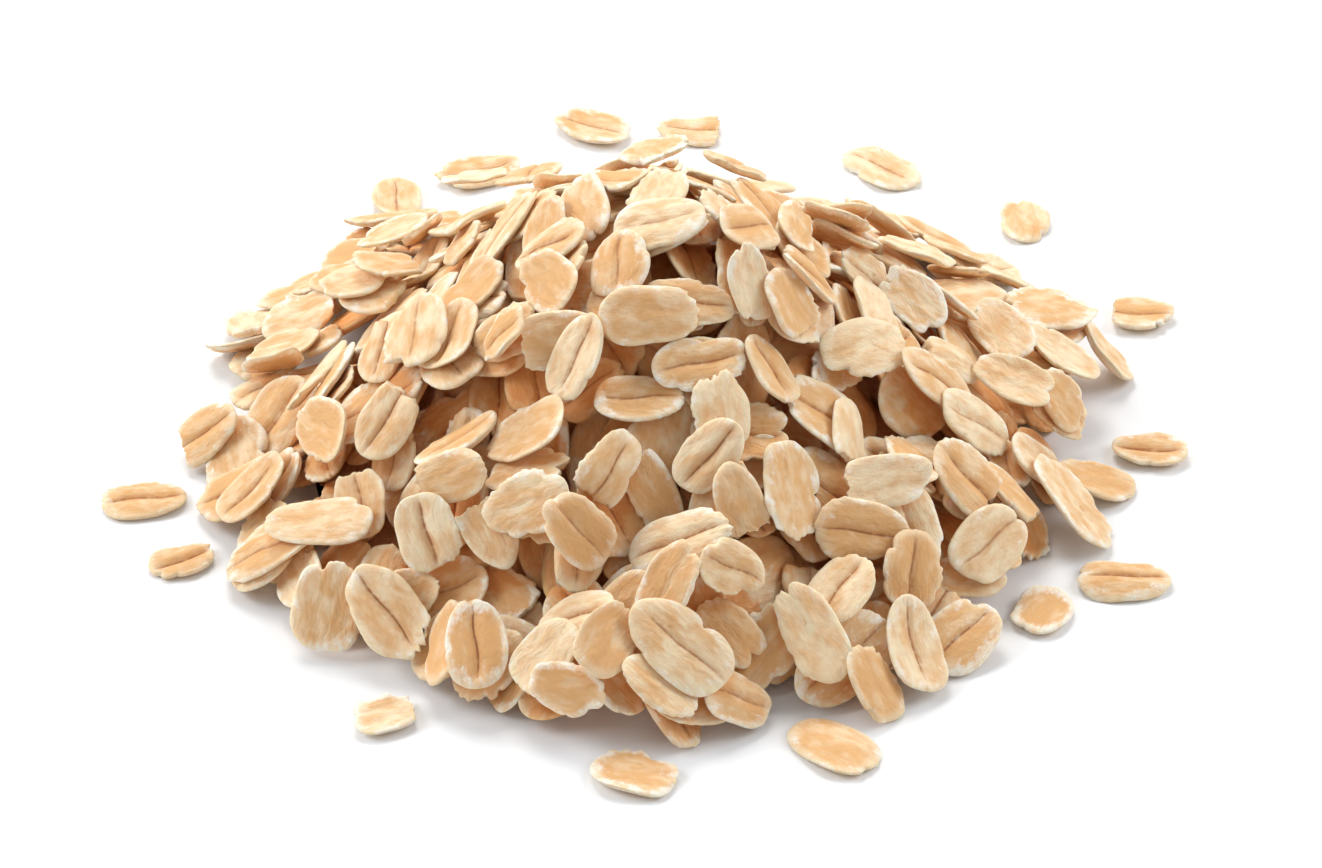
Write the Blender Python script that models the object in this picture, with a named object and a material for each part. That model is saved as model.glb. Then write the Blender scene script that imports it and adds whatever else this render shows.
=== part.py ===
"""A heap of rolled oat flakes lying on a flat surface, with single flakes scattered round its foot.

The heap is one solid: a packed middle with the flakes that show fused to it. Each flake that lies
apart on the surface is a solid of its own. Metres, +Z up, the origin on the surface under the peak.
"""

import math

import bmesh
import bpy
import mathutils
import numpy as np

MM = 0.001

# The heap as a whole.
PEAK_HEIGHT = 33 * MM
APEX_ROUNDING = 5 * MM
SLOPE = math.tan(math.radians(39))
SKIRT_RADIUS = 49 * MM
SKIRT_HEIGHT = 3.2 * MM
SKIRT_BLEND = 1.6 * MM
FAR_STEEPNESS = 0.14
FAR_SKIRT = 0.6
FAR_BLEND = 6 * MM

# The packed middle that the flakes come to rest on.
CORE_DEPTH = 7 * MM
LUMP_HEIGHT = 0.9 * MM
LUMP_PITCH = 7 * MM

# One flake. Its rim is thinner than its middle, and one end is narrower.
FLAKE_LENGTH = 9.0 * MM
FLAKE_LENGTH_SPREAD = 1.2 * MM
FLAKE_LENGTH_RANGE = (6.4 * MM, 11.8 * MM)
FLAKE_WIDTH_SHARE = (0.58, 0.80)
FLAKE_WIDTH_RANGE = (4.6 * MM, 7.6 * MM)
FLAKE_THICKNESS = 0.95 * MM
FLAKE_THICKNESS_SHARE = (0.82, 1.12)
RIM_SHARE = 0.62
EGG = 0.10
ROUNDNESS = 2.3
STEEPEST = 1.5
KIND_SHARES = (0.5, 0.35, 0.15)

# How a flake's middle sheet is bent: so many per metre along it, across it and in its twist.
BOW_SPREAD = 12
CUP = 8
CUP_SPREAD = 22
TWIST_SPREAD = 9

# How the flakes are laid.
SEED = 25
BED_HALF = 66 * MM
BED_CELL = 0.4 * MM
MOST_LAID = 900
PLACES_TRIED = 10
LEVEL_TOLERANCE = 0.02 * MM
EDGE_MARGIN = 3 * MM
SLOPE_REACH = 1 * MM
PROPPED_SHARE = 0.7
PROP_RANGE = (0.8 * MM, 3.4 * MM)
PROP_SWING = 0.7
PLACED_LAYER = 0.6 * MM
LOOSE_MARGIN = 0.9 * MM

# Flakes that lie apart on the surface. Kind, middle (x, y) in mm, turn in degrees, length and width in mm.
LOOSE_FLAKES = {
    "loose_flake_far_left": ("creased", -52, -9, 10, 8.8, 5.8),
    "loose_flake_left_low": ("creased", -47.5, -19, 30, 7.0, 4.8),
    "loose_flake_front_left": ("ragged", -26, -43, 20, 7.2, 5.4),
    "loose_flake_front": ("smooth", -1.5, -51.5, 165, 8.6, 6.6),
    "loose_flake_front_right": ("smooth", 18, -47.5, 140, 10.2, 6.6),
    "loose_flake_right_near": ("smooth", 39.5, -27, 60, 7.0, 5.8),
    "loose_flake_right_front": ("creased", 48, -22, 0, 9.6, 6.2),
    "loose_flake_right_low": ("creased", 52, -1, 175, 8.0, 5.2),
    "loose_flake_right": ("creased", 52, 22.5, 175, 8.2, 5.4),
    "loose_flake_back_far_right": ("smooth", 41, 40, 95, 7.6, 5.6),
    "loose_flake_back_right": ("creased", 25.5, 50, 140, 9.8, 6.0),
    "loose_flake_back": ("creased", 5, 57, 175, 8.8, 5.0),
    "loose_flake_back_mid": ("creased", -6.5, 57.5, 155, 9.0, 5.8),
    "loose_flake_back_left": ("creased", -19, 49, 20, 9.6, 5.6),
    "loose_flake_back_far_left": ("creased", -28, 44.5, 95, 7.5, 5.5),
}

# Flakes that stand out on the heap, in the order they lie on one another, with the same columns.
PLACED_FLAKES = [
    # The far and outer edge.
    ("smooth", -32.5, 30, 150, 7.5, 5.0),
    ("creased", -28, 36, 18, 10.5, 5.0),
    ("smooth", -24, 25, 80, 8.0, 5.0),
    ("smooth", -27.5, 28, 35, 8.5, 5.4),
    ("smooth", -42.5, 19.5, 95, 8.2, 6.0),
    ("smooth", -38, 24, 5, 8.8, 5.4),
    ("smooth", -37, 15, 10, 8.5, 6.5),
    ("creased", -46, -1.5, 0, 9.0, 6.0),
    ("smooth", 42.5, 0, 170, 7.5, 5.5),
    ("smooth", 48, 13, 155, 8.0, 5.6),
    ("ragged", 42, 14, 5, 9.8, 7.2),
    ("smooth", 43, 7, 0, 9.0, 6.2),
    ("creased", 31, 34, 160, 9.6, 5.2),
    ("smooth", 39.5, 24, 165, 9.0, 7.6),
    ("smooth", 33, 29, 165, 7.5, 5.0),
    ("smooth", 32.5, 20, 130, 7.6, 5.6),
    ("creased", 24.5, 25.5, 170, 9.0, 5.4),
    ("creased", 28, 27, 130, 10.0, 5.4),
    ("creased", 28, 18, 165, 8.6, 5.8),
    ("smooth", 36.5, 7, 125, 9.0, 5.6),
    ("smooth", 30.5, 9, 155, 8.6, 4.8),
    ("smooth", 31, 0, 20, 8.0, 4.8),
    ("smooth", 37.5, -1, 150, 9.0, 5.0),
    ("smooth", 14.5, 33, 10, 8.5, 5.0),
    ("smooth", 22, 36, 160, 7.0, 5.0),
    ("creased", -30, 20, 23, 8.8, 5.2),
    ("smooth", -31, 12, 156, 8.0, 5.5),
    ("ragged", -27, 13, 20, 8.4, 5.8),
    ("smooth", -39.5, 6, 151, 8.0, 5.0),
    ("smooth", -38.5, 9.5, 175, 8.6, 5.6),
    ("creased", -32.5, -4, 62, 9.5, 5.4),
    ("creased", -34, -1, 60, 10.0, 6.4),
    # Round the peak.
    ("smooth", 15, 4, 85, 9.0, 5.0),
    ("ragged", 19, 10, 120, 8.5, 6.5),
    ("smooth", -10.5, 0, 80, 7.5, 5.0),
    ("smooth", -18, 14, 40, 8.0, 5.0),
    ("creased", -15, 4, 50, 11.5, 5.5),
    ("smooth", -18, -3, 30, 8.5, 6.0),
    ("creased", -10, -4, 160, 9.5, 5.2),
    ("creased", 10, -3, 55, 10.0, 6.0),
    ("smooth", -10, -9, 120, 8.0, 6.0),
    ("creased", 1, -5, 0, 9.6, 6.5),
    ("creased", 4, -12, 0, 9.0, 5.0),
    ("smooth", -3, -13, 135, 8.0, 6.0),
    ("creased", -3, -9, 85, 7.6, 6.3),
    ("smooth", 10, -10, 115, 8.0, 5.0),
    ("smooth", 14, -10, 140, 8.0, 6.5),
    ("creased", 16, -5, 20, 9.5, 5.5),
    ("smooth", 23, 0, 100, 9.0, 6.0),
    # Down the middle.
    ("smooth", -14, -12, 165, 9.0, 5.5),
    ("smooth", -9, -15, 5, 9.0, 6.0),
    ("creased", -1, -20, 0, 9.0, 5.5),
    ("creased", 5, -17, 20, 10.0, 5.5),
    ("smooth", 0, -15, 15, 10.5, 6.0),
    ("creased", -7, -18, 40, 9.5, 6.0),
    ("creased", 12, -16, 130, 8.0, 5.0),
    ("ragged", 7, -21, 95, 8.0, 6.3),
    ("ragged", -12, -25, 170, 9.0, 5.5),
    ("smooth", -12, -22, 170, 10.0, 6.0),
    ("creased", 6, -25, 25, 8.5, 5.5),
    ("smooth", 0, -26, 135, 10.0, 4.8),
    ("creased", -4, -27, 50, 9.0, 5.5),
    ("smooth", 9, -29, 130, 9.0, 5.0),
    ("smooth", 14, -26, 105, 10.0, 7.5),
    ("ragged", -12, -29, 175, 9.5, 6.5),
    ("creased", 3, -32, 0, 11.0, 6.2),
    ("creased", -7, -32, 160, 8.8, 6.0),
    ("smooth", -2, -37, 40, 8.0, 6.0),
    ("creased", -7, -38, 170, 8.5, 5.5),
    ("smooth", 8, -38, 150, 8.0, 5.0),
    ("creased", 8, -35, 5, 7.5, 5.5),
    ("ragged", 2, -37, 50, 9.0, 5.5),
    # The near edge.
    ("smooth", -10, -41, 35, 8.3, 6.0),
    ("smooth", -8, -45, 160, 8.0, 5.2),
    ("smooth", -4, -42, 60, 8.5, 6.0),
    ("creased", 8.5, -43.5, 10, 8.0, 5.6),
    ("smooth", 1, -45, 160, 8.5, 5.0),
    ("creased", 3, -42, 155, 11.8, 7.2),
    ("creased", -40.5, -12.5, 40, 9.0, 6.0),
    ("creased", -38, -22, 0, 11.2, 5.8),
    ("smooth", -32, -31, 80, 9.5, 7.2),
    ("creased", -26, -33, 135, 10.5, 6.8),
    ("smooth", -20, -37, 75, 9.0, 5.0),
    ("creased", -17, -39, 95, 9.0, 6.2),
    # The left side.
    ("creased", -27, -6, 74, 8.0, 5.5),
    ("creased", -20, -9, 72, 9.0, 6.2),
    ("creased", -23.5, -8, 84, 9.5, 7.2),
    ("creased", -14.5, -14, 165, 7.0, 5.5),
    ("creased", -26, -15, 30, 9.5, 6.0),
    ("smooth", -33, -12, 125, 9.0, 6.5),
    ("creased", -19, -20, 25, 9.5, 5.5),
    ("creased", -29, -20, 100, 8.0, 6.2),
    ("smooth", -33, -22, 165, 12.0, 5.8),
    ("smooth", -20, -25, 175, 8.5, 5.2),
    ("creased", -22, -28, 115, 8.0, 6.5),
    # The right side.
    ("smooth", 22, -9, 35, 11.0, 6.3),
    ("creased", 29, -8, 30, 11.5, 5.7),
    ("creased", 33, -9, 30, 11.5, 6.0),
    ("smooth", 20, -18, 90, 8.8, 5.0),
    ("ragged", 26, -18, 105, 8.0, 5.4),
    ("ragged", 40, -8, 30, 10.5, 6.5),
    ("creased", 32, -18, 155, 9.8, 7.0),
    ("smooth", 46, -7, 175, 8.5, 5.5),
    ("ragged", 43, -13, 130, 12.0, 7.2),
    ("ragged", 23, -23, 15, 11.0, 5.5),
    ("creased", 21, -27, 10, 9.8, 6.5),
    ("creased", 34, -23, 45, 9.8, 6.8),
    ("creased", 26, -29, 80, 8.2, 6.6),
    ("creased", 19, -33, 55, 8.2, 6.0),
    ("smooth", 16, -38, 125, 11.0, 5.8),
    ("smooth", 22, -41, 135, 8.5, 6.0),
    ("creased", 31, -33, 45, 9.5, 6.8),
    ("creased", 26, -36, 105, 10.2, 6.6),
]

# The heap's solid: how many flakes show, how few sides they have, and the grid of the packed middle.
FLAKE_SIDES = 8
FLAKES_SHOWN = 146
PLACED_WEIGHT = 2.0
CORE_GRID = 18
CORE_SINK = 0.5 * MM
CORE_REACH = 1
FOOT_INSET = 0.4 * MM
CORE_EDGE = 0.4 * MM
SEAT = 0.4 * MM
FLOOR_GAP = 0.05 * MM
SLIVER = 0.004 * MM
LOOSE_GRID = (6, 4)
CREASE_DEPTH = 0.16 * MM
TORN = 0.06


def clear_scene():
    for obj in list(bpy.data.objects):
        bpy.data.objects.remove(obj)


def heap_profile(x, y):
    """The heap's height: a rounded cone that runs out into a skirt, steeper and thicker on the far side."""
    radius = np.hypot(x, y)
    far = 1 / (1 + np.exp(-y / FAR_BLEND))
    slope = SLOPE * (1 + FAR_STEEPNESS * far)
    cone = PEAK_HEIGHT - slope * (np.hypot(radius, APEX_ROUNDING) - APEX_ROUNDING)
    reach = np.clip(1 - (radius / SKIRT_RADIUS) ** 4, 0, 1)
    skirt = SKIRT_HEIGHT * (1 + FAR_SKIRT * far) * reach
    return (skirt + SKIRT_BLEND * np.logaddexp(0, (cone - skirt) / SKIRT_BLEND)) * (reach > 0)


def packed_middle(x, y):
    """The height of the packed middle, a lumpy heap one layer smaller."""
    wave = 2 * math.pi / LUMP_PITCH
    lumps = np.sin(x * wave + 1) * np.cos(y * wave * 0.87 + 2) + 0.8 * np.sin((x + y) * wave * 0.58)
    middle = heap_profile(x, y) - CORE_DEPTH
    return np.maximum(0, middle + LUMP_HEIGHT * lumps * (middle > 0))


class Bed:
    """What lies under the next flake: a grid of heights, and the flake on top in each cell."""

    def __init__(self):
        line = np.arange(-BED_HALF, BED_HALF + BED_CELL / 2, BED_CELL)
        self.x, self.y = np.meshgrid(line, line, indexing="ij")
        self.height = packed_middle(self.x, self.y)
        self.owner = np.full(self.height.shape, -1)
        self.kept_clear = np.zeros(self.height.shape, bool)

    def cell(self, x):
        nearest = np.round((np.asarray(x) + BED_HALF) / BED_CELL).astype(int)
        return np.clip(nearest, 0, len(self.x) - 1)

    def at(self, x, y):
        return self.height[self.cell(x), self.cell(y)]


def sample_rings(counts=(1, 6, 12, 18), shares=(0, 0.45, 0.8, 1.0)):
    """Points of the unit disc in rings, as cosine, sine and share of the way to the rim."""
    found = []
    for count, share in zip(counts, shares):
        angle = 2 * math.pi * (np.arange(count) + 0.5 * (count % 4 == 0)) / count
        found.append(np.column_stack([np.cos(angle), np.sin(angle), np.full(count, share)]))
    return np.concatenate(found)


RINGS = sample_rings()
OUTER_RING = len(RINGS) - 18


def outline(flake, cosine, sine):
    """The flake's rim in that direction: a superellipse, narrower towards one end."""
    radius = (np.abs(cosine) ** ROUNDNESS + np.abs(sine) ** ROUNDNESS) ** (-1 / ROUNDNESS)
    along = radius * cosine
    across = radius * sine * (1 - EGG * along)
    return along * flake["length"] / 2, across * flake["width"] / 2


def warp(flake, x, y):
    """How far the flake's middle sheet rises at x, y: a bow along it, a cup across it and a twist."""
    return flake["bow"] * x * x + flake["cup"] * y * y + flake["twist"] * x * y


def half_thickness(flake, share):
    return flake["thickness"] / 2 * (1 - (1 - RIM_SHARE) * share**2)


def axes_of(slope, turn):
    """A flake's axes along, across and normal, for a plane of that slope and a turn on the plan."""
    normal = np.array([-slope[0], -slope[1], 1.0])
    normal /= np.linalg.norm(normal)
    along = np.array([math.cos(turn), math.sin(turn), 0.0])
    along[2] = slope @ along[:2]
    along /= np.linalg.norm(along)
    return np.column_stack([along, np.cross(normal, along), normal])


def settle(bed, flake, slope):
    """Lets the flake come to rest: the tilt that brings its centre lowest, clear of what is below.

    The slope is improved in small steps, each of which lifts the side that touches first.
    """
    cosine, sine, share = RINGS.T
    x, y = outline(flake, cosine, sine)
    x, y = x * share, y * share
    under = np.column_stack([x, y, warp(flake, x, y) - half_thickness(flake, share)])
    slope = np.array(slope, float)
    for _ in range(4):
        points = under @ axes_of(slope, flake["turn"]).T
        plan = points[:, :2]
        ground = bed.at(flake["x"] + plan[:, 0], flake["y"] + plan[:, 1])
        need = ground - (points[:, 2] - plan @ slope)
        need[flake["prop_at"]] += flake["prop"]
        reach = np.linalg.norm(plan, axis=1)
        for step in range(24):
            worst = np.argmax(need - plan @ slope)
            if reach[worst] > 0:
                slope += 0.28 / (step + 2) * plan[worst] / reach[worst]
            slope *= min(1, STEEPEST / max(np.linalg.norm(slope), 1e-9))
    flake["axes"] = axes_of(slope, flake["turn"])
    points = under @ flake["axes"].T
    ground = bed.at(flake["x"] + points[:, 0], flake["y"] + points[:, 1])
    flake["z"] = float((ground - points[:, 2]).max())


def under_flake(bed, flake, margin=0.0):
    """The part of the bed round the flake, with each cell's x, y on the flake and its share to the rim."""
    half = flake["length"] / 2 + margin + BED_CELL
    i = bed.cell([flake["x"] - half, flake["x"] + half])
    j = bed.cell([flake["y"] - half, flake["y"] + half])
    part = (slice(i[0], i[1] + 1), slice(j[0], j[1] + 1))
    right, back = bed.x[part] - flake["x"], bed.y[part] - flake["y"]
    axes = flake["axes"]
    plan = axes[0, 0] * axes[1, 1] - axes[0, 1] * axes[1, 0]
    x = (axes[1, 1] * right - axes[0, 1] * back) / plan
    y = (axes[0, 0] * back - axes[1, 0] * right) / plan
    along = x / (flake["length"] / 2 + margin)
    across = y / (flake["width"] / 2 * (1 - EGG * np.clip(along, -1, 1)) + margin)
    share = (np.abs(along) ** ROUNDNESS + np.abs(across) ** ROUNDNESS) ** (1 / ROUNDNESS)
    return part, x, y, share


def cover(bed, flake, number):
    """Raises the bed to the flake's top wherever the flake lies."""
    part, x, y, share = under_flake(bed, flake)
    axes = flake["axes"]
    top = flake["z"] + x * axes[2, 0] + y * axes[2, 1]
    top += (warp(flake, x, y) + half_thickness(flake, share)) / axes[2, 2]
    higher = (share <= 1) & (top > bed.height[part])
    bed.height[part] = np.where(higher, top, bed.height[part])
    bed.owner[part] = np.where(higher, number, bed.owner[part])


def touches_kept_clear(bed, flake):
    """Whether the flake lies over a cell kept for one that lies apart."""
    part, _, _, share = under_flake(bed, flake)
    return bool((bed.kept_clear[part] & (share <= 1)).any())


def make_flake(draw, kind, x, y, turn, length, width):
    return {
        "kind": kind,
        "x": x,
        "y": y,
        "turn": turn,
        "length": length,
        "width": width,
        "thickness": FLAKE_THICKNESS * draw.uniform(*FLAKE_THICKNESS_SHARE),
        "bow": draw.normal(0, BOW_SPREAD),
        "cup": draw.normal(CUP, CUP_SPREAD),
        "twist": draw.normal(0, TWIST_SPREAD),
        "prop": 0.0,
        "prop_at": 0,
    }


def random_flake(draw, x, y):
    length = np.clip(draw.normal(FLAKE_LENGTH, FLAKE_LENGTH_SPREAD), *FLAKE_LENGTH_RANGE)
    width = np.clip(length * draw.uniform(*FLAKE_WIDTH_SHARE), *FLAKE_WIDTH_RANGE)
    kind = draw.choice(["creased", "smooth", "ragged"], p=KIND_SHARES)
    flake = make_flake(draw, kind, x, y, draw.uniform(0, 2 * math.pi), length, width)
    if draw.random() < PROPPED_SHARE:
        flake["prop"] = draw.uniform(*PROP_RANGE) * np.linalg.norm(downhill(x, y)) / SLOPE
        flake["prop_at"] = outward_sample(flake, draw.normal(0, PROP_SWING))
    return flake


def outward_sample(flake, swing):
    """The rim sample on the flake's outer side, seen from the heap's middle, give or take an angle."""
    outward = math.atan2(flake["y"], flake["x"]) + swing - flake["turn"]
    rim = RINGS[OUTER_RING:]
    return OUTER_RING + int(np.argmax(rim[:, 0] * math.cos(outward) + rim[:, 1] * math.sin(outward)))


def placed_flake(draw, kind, x, y, turn, length, width):
    """A flake from one of the two tables, whose columns are in millimetres and degrees."""
    return make_flake(draw, kind, x * MM, y * MM, math.radians(turn), length * MM, width * MM)


def emptiest_place(bed, target, draw):
    """Of a few random places on the heap, the one furthest below the profile, and by how much."""
    places = draw.uniform(-SKIRT_RADIUS, SKIRT_RADIUS, (6 * PLACES_TRIED, 2))
    inside = np.hypot(*places.T) < SKIRT_RADIUS - EDGE_MARGIN
    places = places[inside][:PLACES_TRIED]
    wanting = []
    for i, j in bed.cell(places):
        part = (slice(i - 6, i + 7), slice(j - 6, j + 7))
        wanting.append((target[part] - bed.height[part]).mean())
    best = int(np.argmax(wanting))
    return places[best], wanting[best]


def downhill(x, y):
    """The slope of the heap's side at x, y, from its height a little way off on each side."""
    ahead = heap_profile(x + np.array([SLOPE_REACH, 0]), y + np.array([0, SLOPE_REACH]))
    behind = heap_profile(x - np.array([SLOPE_REACH, 0]), y - np.array([0, SLOPE_REACH]))
    return (ahead - behind) / (2 * SLOPE_REACH)


def lay_loose(bed, draw):
    """Lays each flake that lies apart, and keeps the heap's own flakes off its cells."""
    bare = Bed()
    bare.height[:] = 0
    loose = {}
    for name, row in LOOSE_FLAKES.items():
        flake = placed_flake(draw, *row)
        settle(bare, flake, (0, 0))
        part, _, _, share = under_flake(bed, flake, LOOSE_MARGIN)
        bed.kept_clear[part] |= share <= 1
        loose[name] = flake
    return loose


def lay_heap():
    """Drops flakes where the heap is emptiest, until it has the heap's profile, and the placed ones last."""
    draw = np.random.default_rng(SEED)
    bed = Bed()
    loose = lay_loose(bed, draw)
    target = heap_profile(bed.x, bed.y) - PLACED_LAYER * (bed.y < 0)
    flakes = []
    for _ in range(MOST_LAID):
        place, wanting = emptiest_place(bed, target, draw)
        if wanting < LEVEL_TOLERANCE and len(flakes) > MOST_LAID // 5:
            break
        flake = random_flake(draw, *place)
        settle(bed, flake, downhill(*place))
        if not touches_kept_clear(bed, flake):
            cover(bed, flake, len(flakes))
            flakes.append(flake)
    for row in PLACED_FLAKES:
        flake = placed_flake(draw, *row)
        settle(bed, flake, downhill(flake["x"], flake["y"]))
        cover(bed, flake, len(flakes))
        flakes.append(flake)
    return bed, flakes, loose


def smoothed(height, cells, passes=2):
    """The mean over a square of that many cells each way, taken a few times."""
    for _ in range(passes):
        for axis in (0, 1):
            height = np.mean([np.roll(height, k, axis) for k in range(-cells, cells + 1)], axis=0)
    return height


def new_object(name, mesh, collection, material=None):
    obj = bpy.data.objects.new(name, mesh)
    collection.objects.link(obj)
    if material:
        mesh.materials.append(material)
    return obj


def flakes_that_show(bed, flakes):
    """The placed flakes, which lie on top, and of the others those with the most area in view."""
    seen = np.bincount(bed.owner[bed.owner >= 0], minlength=len(flakes)) * BED_CELL**2
    seen[-len(PLACED_FLAKES) :] *= PLACED_WEIGHT
    order = np.argsort(-seen)[:FLAKES_SHOWN]
    return [flakes[i] for i in order]


def lowest_near(height, cells):
    """The lowest height within a square of that many cells each way."""
    for axis in (0, 1):
        height = np.min([np.roll(height, k, axis) for k in range(-cells, cells + 1)], axis=0)
    return height


def core_mesh(bed):
    """The packed middle as a closed mesh: a square grid drawn to a disc, draped just under the flakes."""
    height = smoothed(lowest_near(bed.height, CORE_REACH), 2 * CORE_REACH) - CORE_SINK
    height[bed.kept_clear] = 0
    shape = bmesh.new()
    bmesh.ops.create_grid(shape, x_segments=CORE_GRID, y_segments=CORE_GRID, size=1)
    for vert in shape.verts:
        u, v = vert.co.x, vert.co.y
        x, y = u * math.sqrt(1 - v * v / 2), v * math.sqrt(1 - u * u / 2)
        share = math.hypot(x, y)
        angle = math.atan2(y, x)
        reach = foot_radius(bed, height, angle) - FOOT_INSET
        vert.co.x, vert.co.y = reach * share * math.cos(angle), reach * share * math.sin(angle)
        rise = height[bed.cell(vert.co.x), bed.cell(vert.co.y)]
        vert.co.z = max(CORE_EDGE, rise) if share < 0.999 else CORE_EDGE
    rim = [edge for edge in shape.edges if edge.is_boundary]
    wall = bmesh.ops.extrude_edge_only(shape, edges=rim)["geom"]
    for vert in wall:
        if isinstance(vert, bmesh.types.BMVert):
            vert.co.z = 0
    foot = [edge for edge in wall if isinstance(edge, bmesh.types.BMEdge) and edge.is_boundary]
    bmesh.ops.edgeloop_fill(shape, edges=foot)
    bmesh.ops.recalc_face_normals(shape, faces=shape.faces)
    mesh = bpy.data.meshes.new("packed_middle")
    shape.to_mesh(mesh)
    shape.free()
    return mesh


def foot_radius(bed, height, angle):
    """How far from the middle the packed middle still stands above its edge height, in that direction."""
    radius = np.arange(0, SKIRT_RADIUS, BED_CELL)
    along = height[bed.cell(radius * math.cos(angle)), bed.cell(radius * math.sin(angle))]
    return radius[np.argmax(along < CORE_EDGE)] if (along < CORE_EDGE).any() else SKIRT_RADIUS


def flake_mesh(flake, name):
    """A flake with few sides: a disc whose rim is drawn to the outline, thickest in its middle."""
    shape = bmesh.new()
    bmesh.ops.create_cone(
        shape, cap_ends=True, cap_tris=True, segments=FLAKE_SIDES, radius1=1, radius2=1, depth=2
    )
    fill = math.sqrt(2 * math.pi / (FLAKE_SIDES * math.sin(2 * math.pi / FLAKE_SIDES)))
    for vert in shape.verts:
        share = min(1, math.hypot(vert.co.x, vert.co.y))
        x, y = 0.0, 0.0
        if share > 0.5:
            x, y = outline(flake, vert.co.x, vert.co.y)
        x, y = x * fill, y * fill
        side = math.copysign(1, vert.co.z)
        z = warp(flake, x, y) + side * half_thickness(flake, share) - SEAT * (side < 0)
        place = flake["axes"] @ np.array([x, y, z]) + (flake["x"], flake["y"], flake["z"])
        vert.co = place
        vert.co.z = max(FLOOR_GAP, place[2])
    mesh = bpy.data.meshes.new(name)
    shape.to_mesh(mesh)
    shape.free()
    return mesh


def loose_mesh(flake, name):
    """A flake with its crease or its torn rim: a square grid drawn to its outline, above and below."""
    shape = bmesh.new()
    bmesh.ops.create_grid(shape, x_segments=LOOSE_GRID[0], y_segments=LOOSE_GRID[1], size=1)
    top = list(shape.verts)
    copied = bmesh.ops.duplicate(shape, geom=shape.faces)
    under = [vert for vert in copied["geom"] if isinstance(vert, bmesh.types.BMVert)]
    turned = [face for face in copied["geom"] if isinstance(face, bmesh.types.BMFace)]
    bmesh.ops.reverse_faces(shape, faces=turned)
    rims = [edge for edge in shape.edges if edge.is_boundary]
    bmesh.ops.bridge_loops(shape, edges=rims)
    for verts, side in ((top, 1), (under, -1)):
        for vert in verts:
            vert.co = flake["axes"] @ flake_point(flake, vert.co.x, vert.co.y, side)
            vert.co += mathutils.Vector((flake["x"], flake["y"], flake["z"]))
    bmesh.ops.recalc_face_normals(shape, faces=shape.faces)
    lowest = min(vert.co.z for vert in shape.verts)
    bmesh.ops.translate(shape, verts=shape.verts, vec=(0, 0, -lowest))
    mesh = bpy.data.meshes.new(name)
    shape.to_mesh(mesh)
    shape.free()
    return mesh


def flake_point(flake, u, v, side):
    """The point of a creased or plain flake that a square's point u, v goes to, on its top or underside."""
    across, along = v * math.sqrt(1 - u * u / 2), u * math.sqrt(1 - v * v / 2)
    share = min(1, math.hypot(along, across))
    angle = math.atan2(across, along)
    x, y = outline(flake, math.cos(angle), math.sin(angle))
    x, y = x * share, y * share
    if flake["kind"] == "ragged" and share > 0.99:
        x, y = x * (1 + TORN * math.sin(7 * angle)), y * (1 + TORN * math.sin(5 * angle + 1))
    groove = 0.0
    if flake["kind"] == "creased" and abs(v) < 0.01 and abs(u) < 0.99:
        groove = CREASE_DEPTH
    thick = half_thickness(flake, share) - groove
    return mathutils.Vector((x, y, warp(flake, x, y) + side * thick))


def keep_one_body(mesh):
    """Drops loose scraps and the walls of sealed hollows, and keeps the largest body."""
    shape = bmesh.new()
    shape.from_mesh(mesh)
    bmesh.ops.dissolve_degenerate(shape, dist=SLIVER, edges=shape.edges)
    bmesh.ops.triangulate(shape, faces=shape.faces)
    left = set(shape.faces)
    bodies = []
    while left:
        body = [left.pop()]
        for face in body:
            for edge in face.edges:
                for other in edge.link_faces:
                    if other in left:
                        left.discard(other)
                        body.append(other)
        bodies.append(body)
    largest = max(bodies, key=len)
    scraps = [face for body in bodies if body is not largest for face in body]
    bmesh.ops.delete(shape, geom=scraps, context="FACES")
    shape.to_mesh(mesh)
    shape.free()


def fuse(name, core, flakes, collection, material):
    """Joins the flakes to the core with one Boolean union."""
    helper = bpy.data.collections.new("flakes_to_fuse")
    bpy.context.scene.collection.children.link(helper)
    for number, flake in enumerate(flakes):
        new_object(f"piece_{number}", flake_mesh(flake, f"piece_{number}"), helper)
    base = new_object("core", core, bpy.context.scene.collection)
    union = base.modifiers.new("fuse_flakes", "BOOLEAN")
    union.operation = "UNION"
    union.operand_type = "COLLECTION"
    union.collection = helper
    union.solver = "MANIFOLD"
    graph = bpy.context.evaluated_depsgraph_get()
    mesh = bpy.data.meshes.new_from_object(base.evaluated_get(graph))
    mesh.name = name
    for obj in [base, *helper.objects]:
        bpy.data.objects.remove(obj)
    bpy.data.collections.remove(helper)
    keep_one_body(mesh)
    mesh.materials.clear()
    return new_object(name, mesh, collection, material)


def oat_material(name, colour, roughness):
    material = bpy.data.materials.new(name)
    material.use_nodes = True
    shader = material.node_tree.nodes["Principled BSDF"]
    shader.inputs["Base Color"].default_value = (*colour, 1)
    shader.inputs["Roughness"].default_value = roughness
    shader.inputs["Metallic"].default_value = 0
    return material


def main():
    clear_scene()
    collection = bpy.data.collections.new("rolled_oats")
    bpy.context.scene.collection.children.link(collection)
    bran = oat_material("oat_flake", (0.74, 0.52, 0.29), 0.6)
    bed, flakes, loose = lay_heap()
    fuse("oat_heap", core_mesh(bed), flakes_that_show(bed, flakes), collection, bran)
    for name, flake in loose.items():
        pale = oat_material(name, (0.80, 0.62, 0.38), 0.6)
        new_object(name, loose_mesh(flake, name), collection, pale)


main()
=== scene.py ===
"""The looks of a heap of rolled oat flakes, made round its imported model.

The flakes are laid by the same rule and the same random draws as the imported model's solids, so each one
lies where the model has it. Each is then a full surface with its crease, lobes, ridges and torn rim.
"""

import functools
import math

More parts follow.
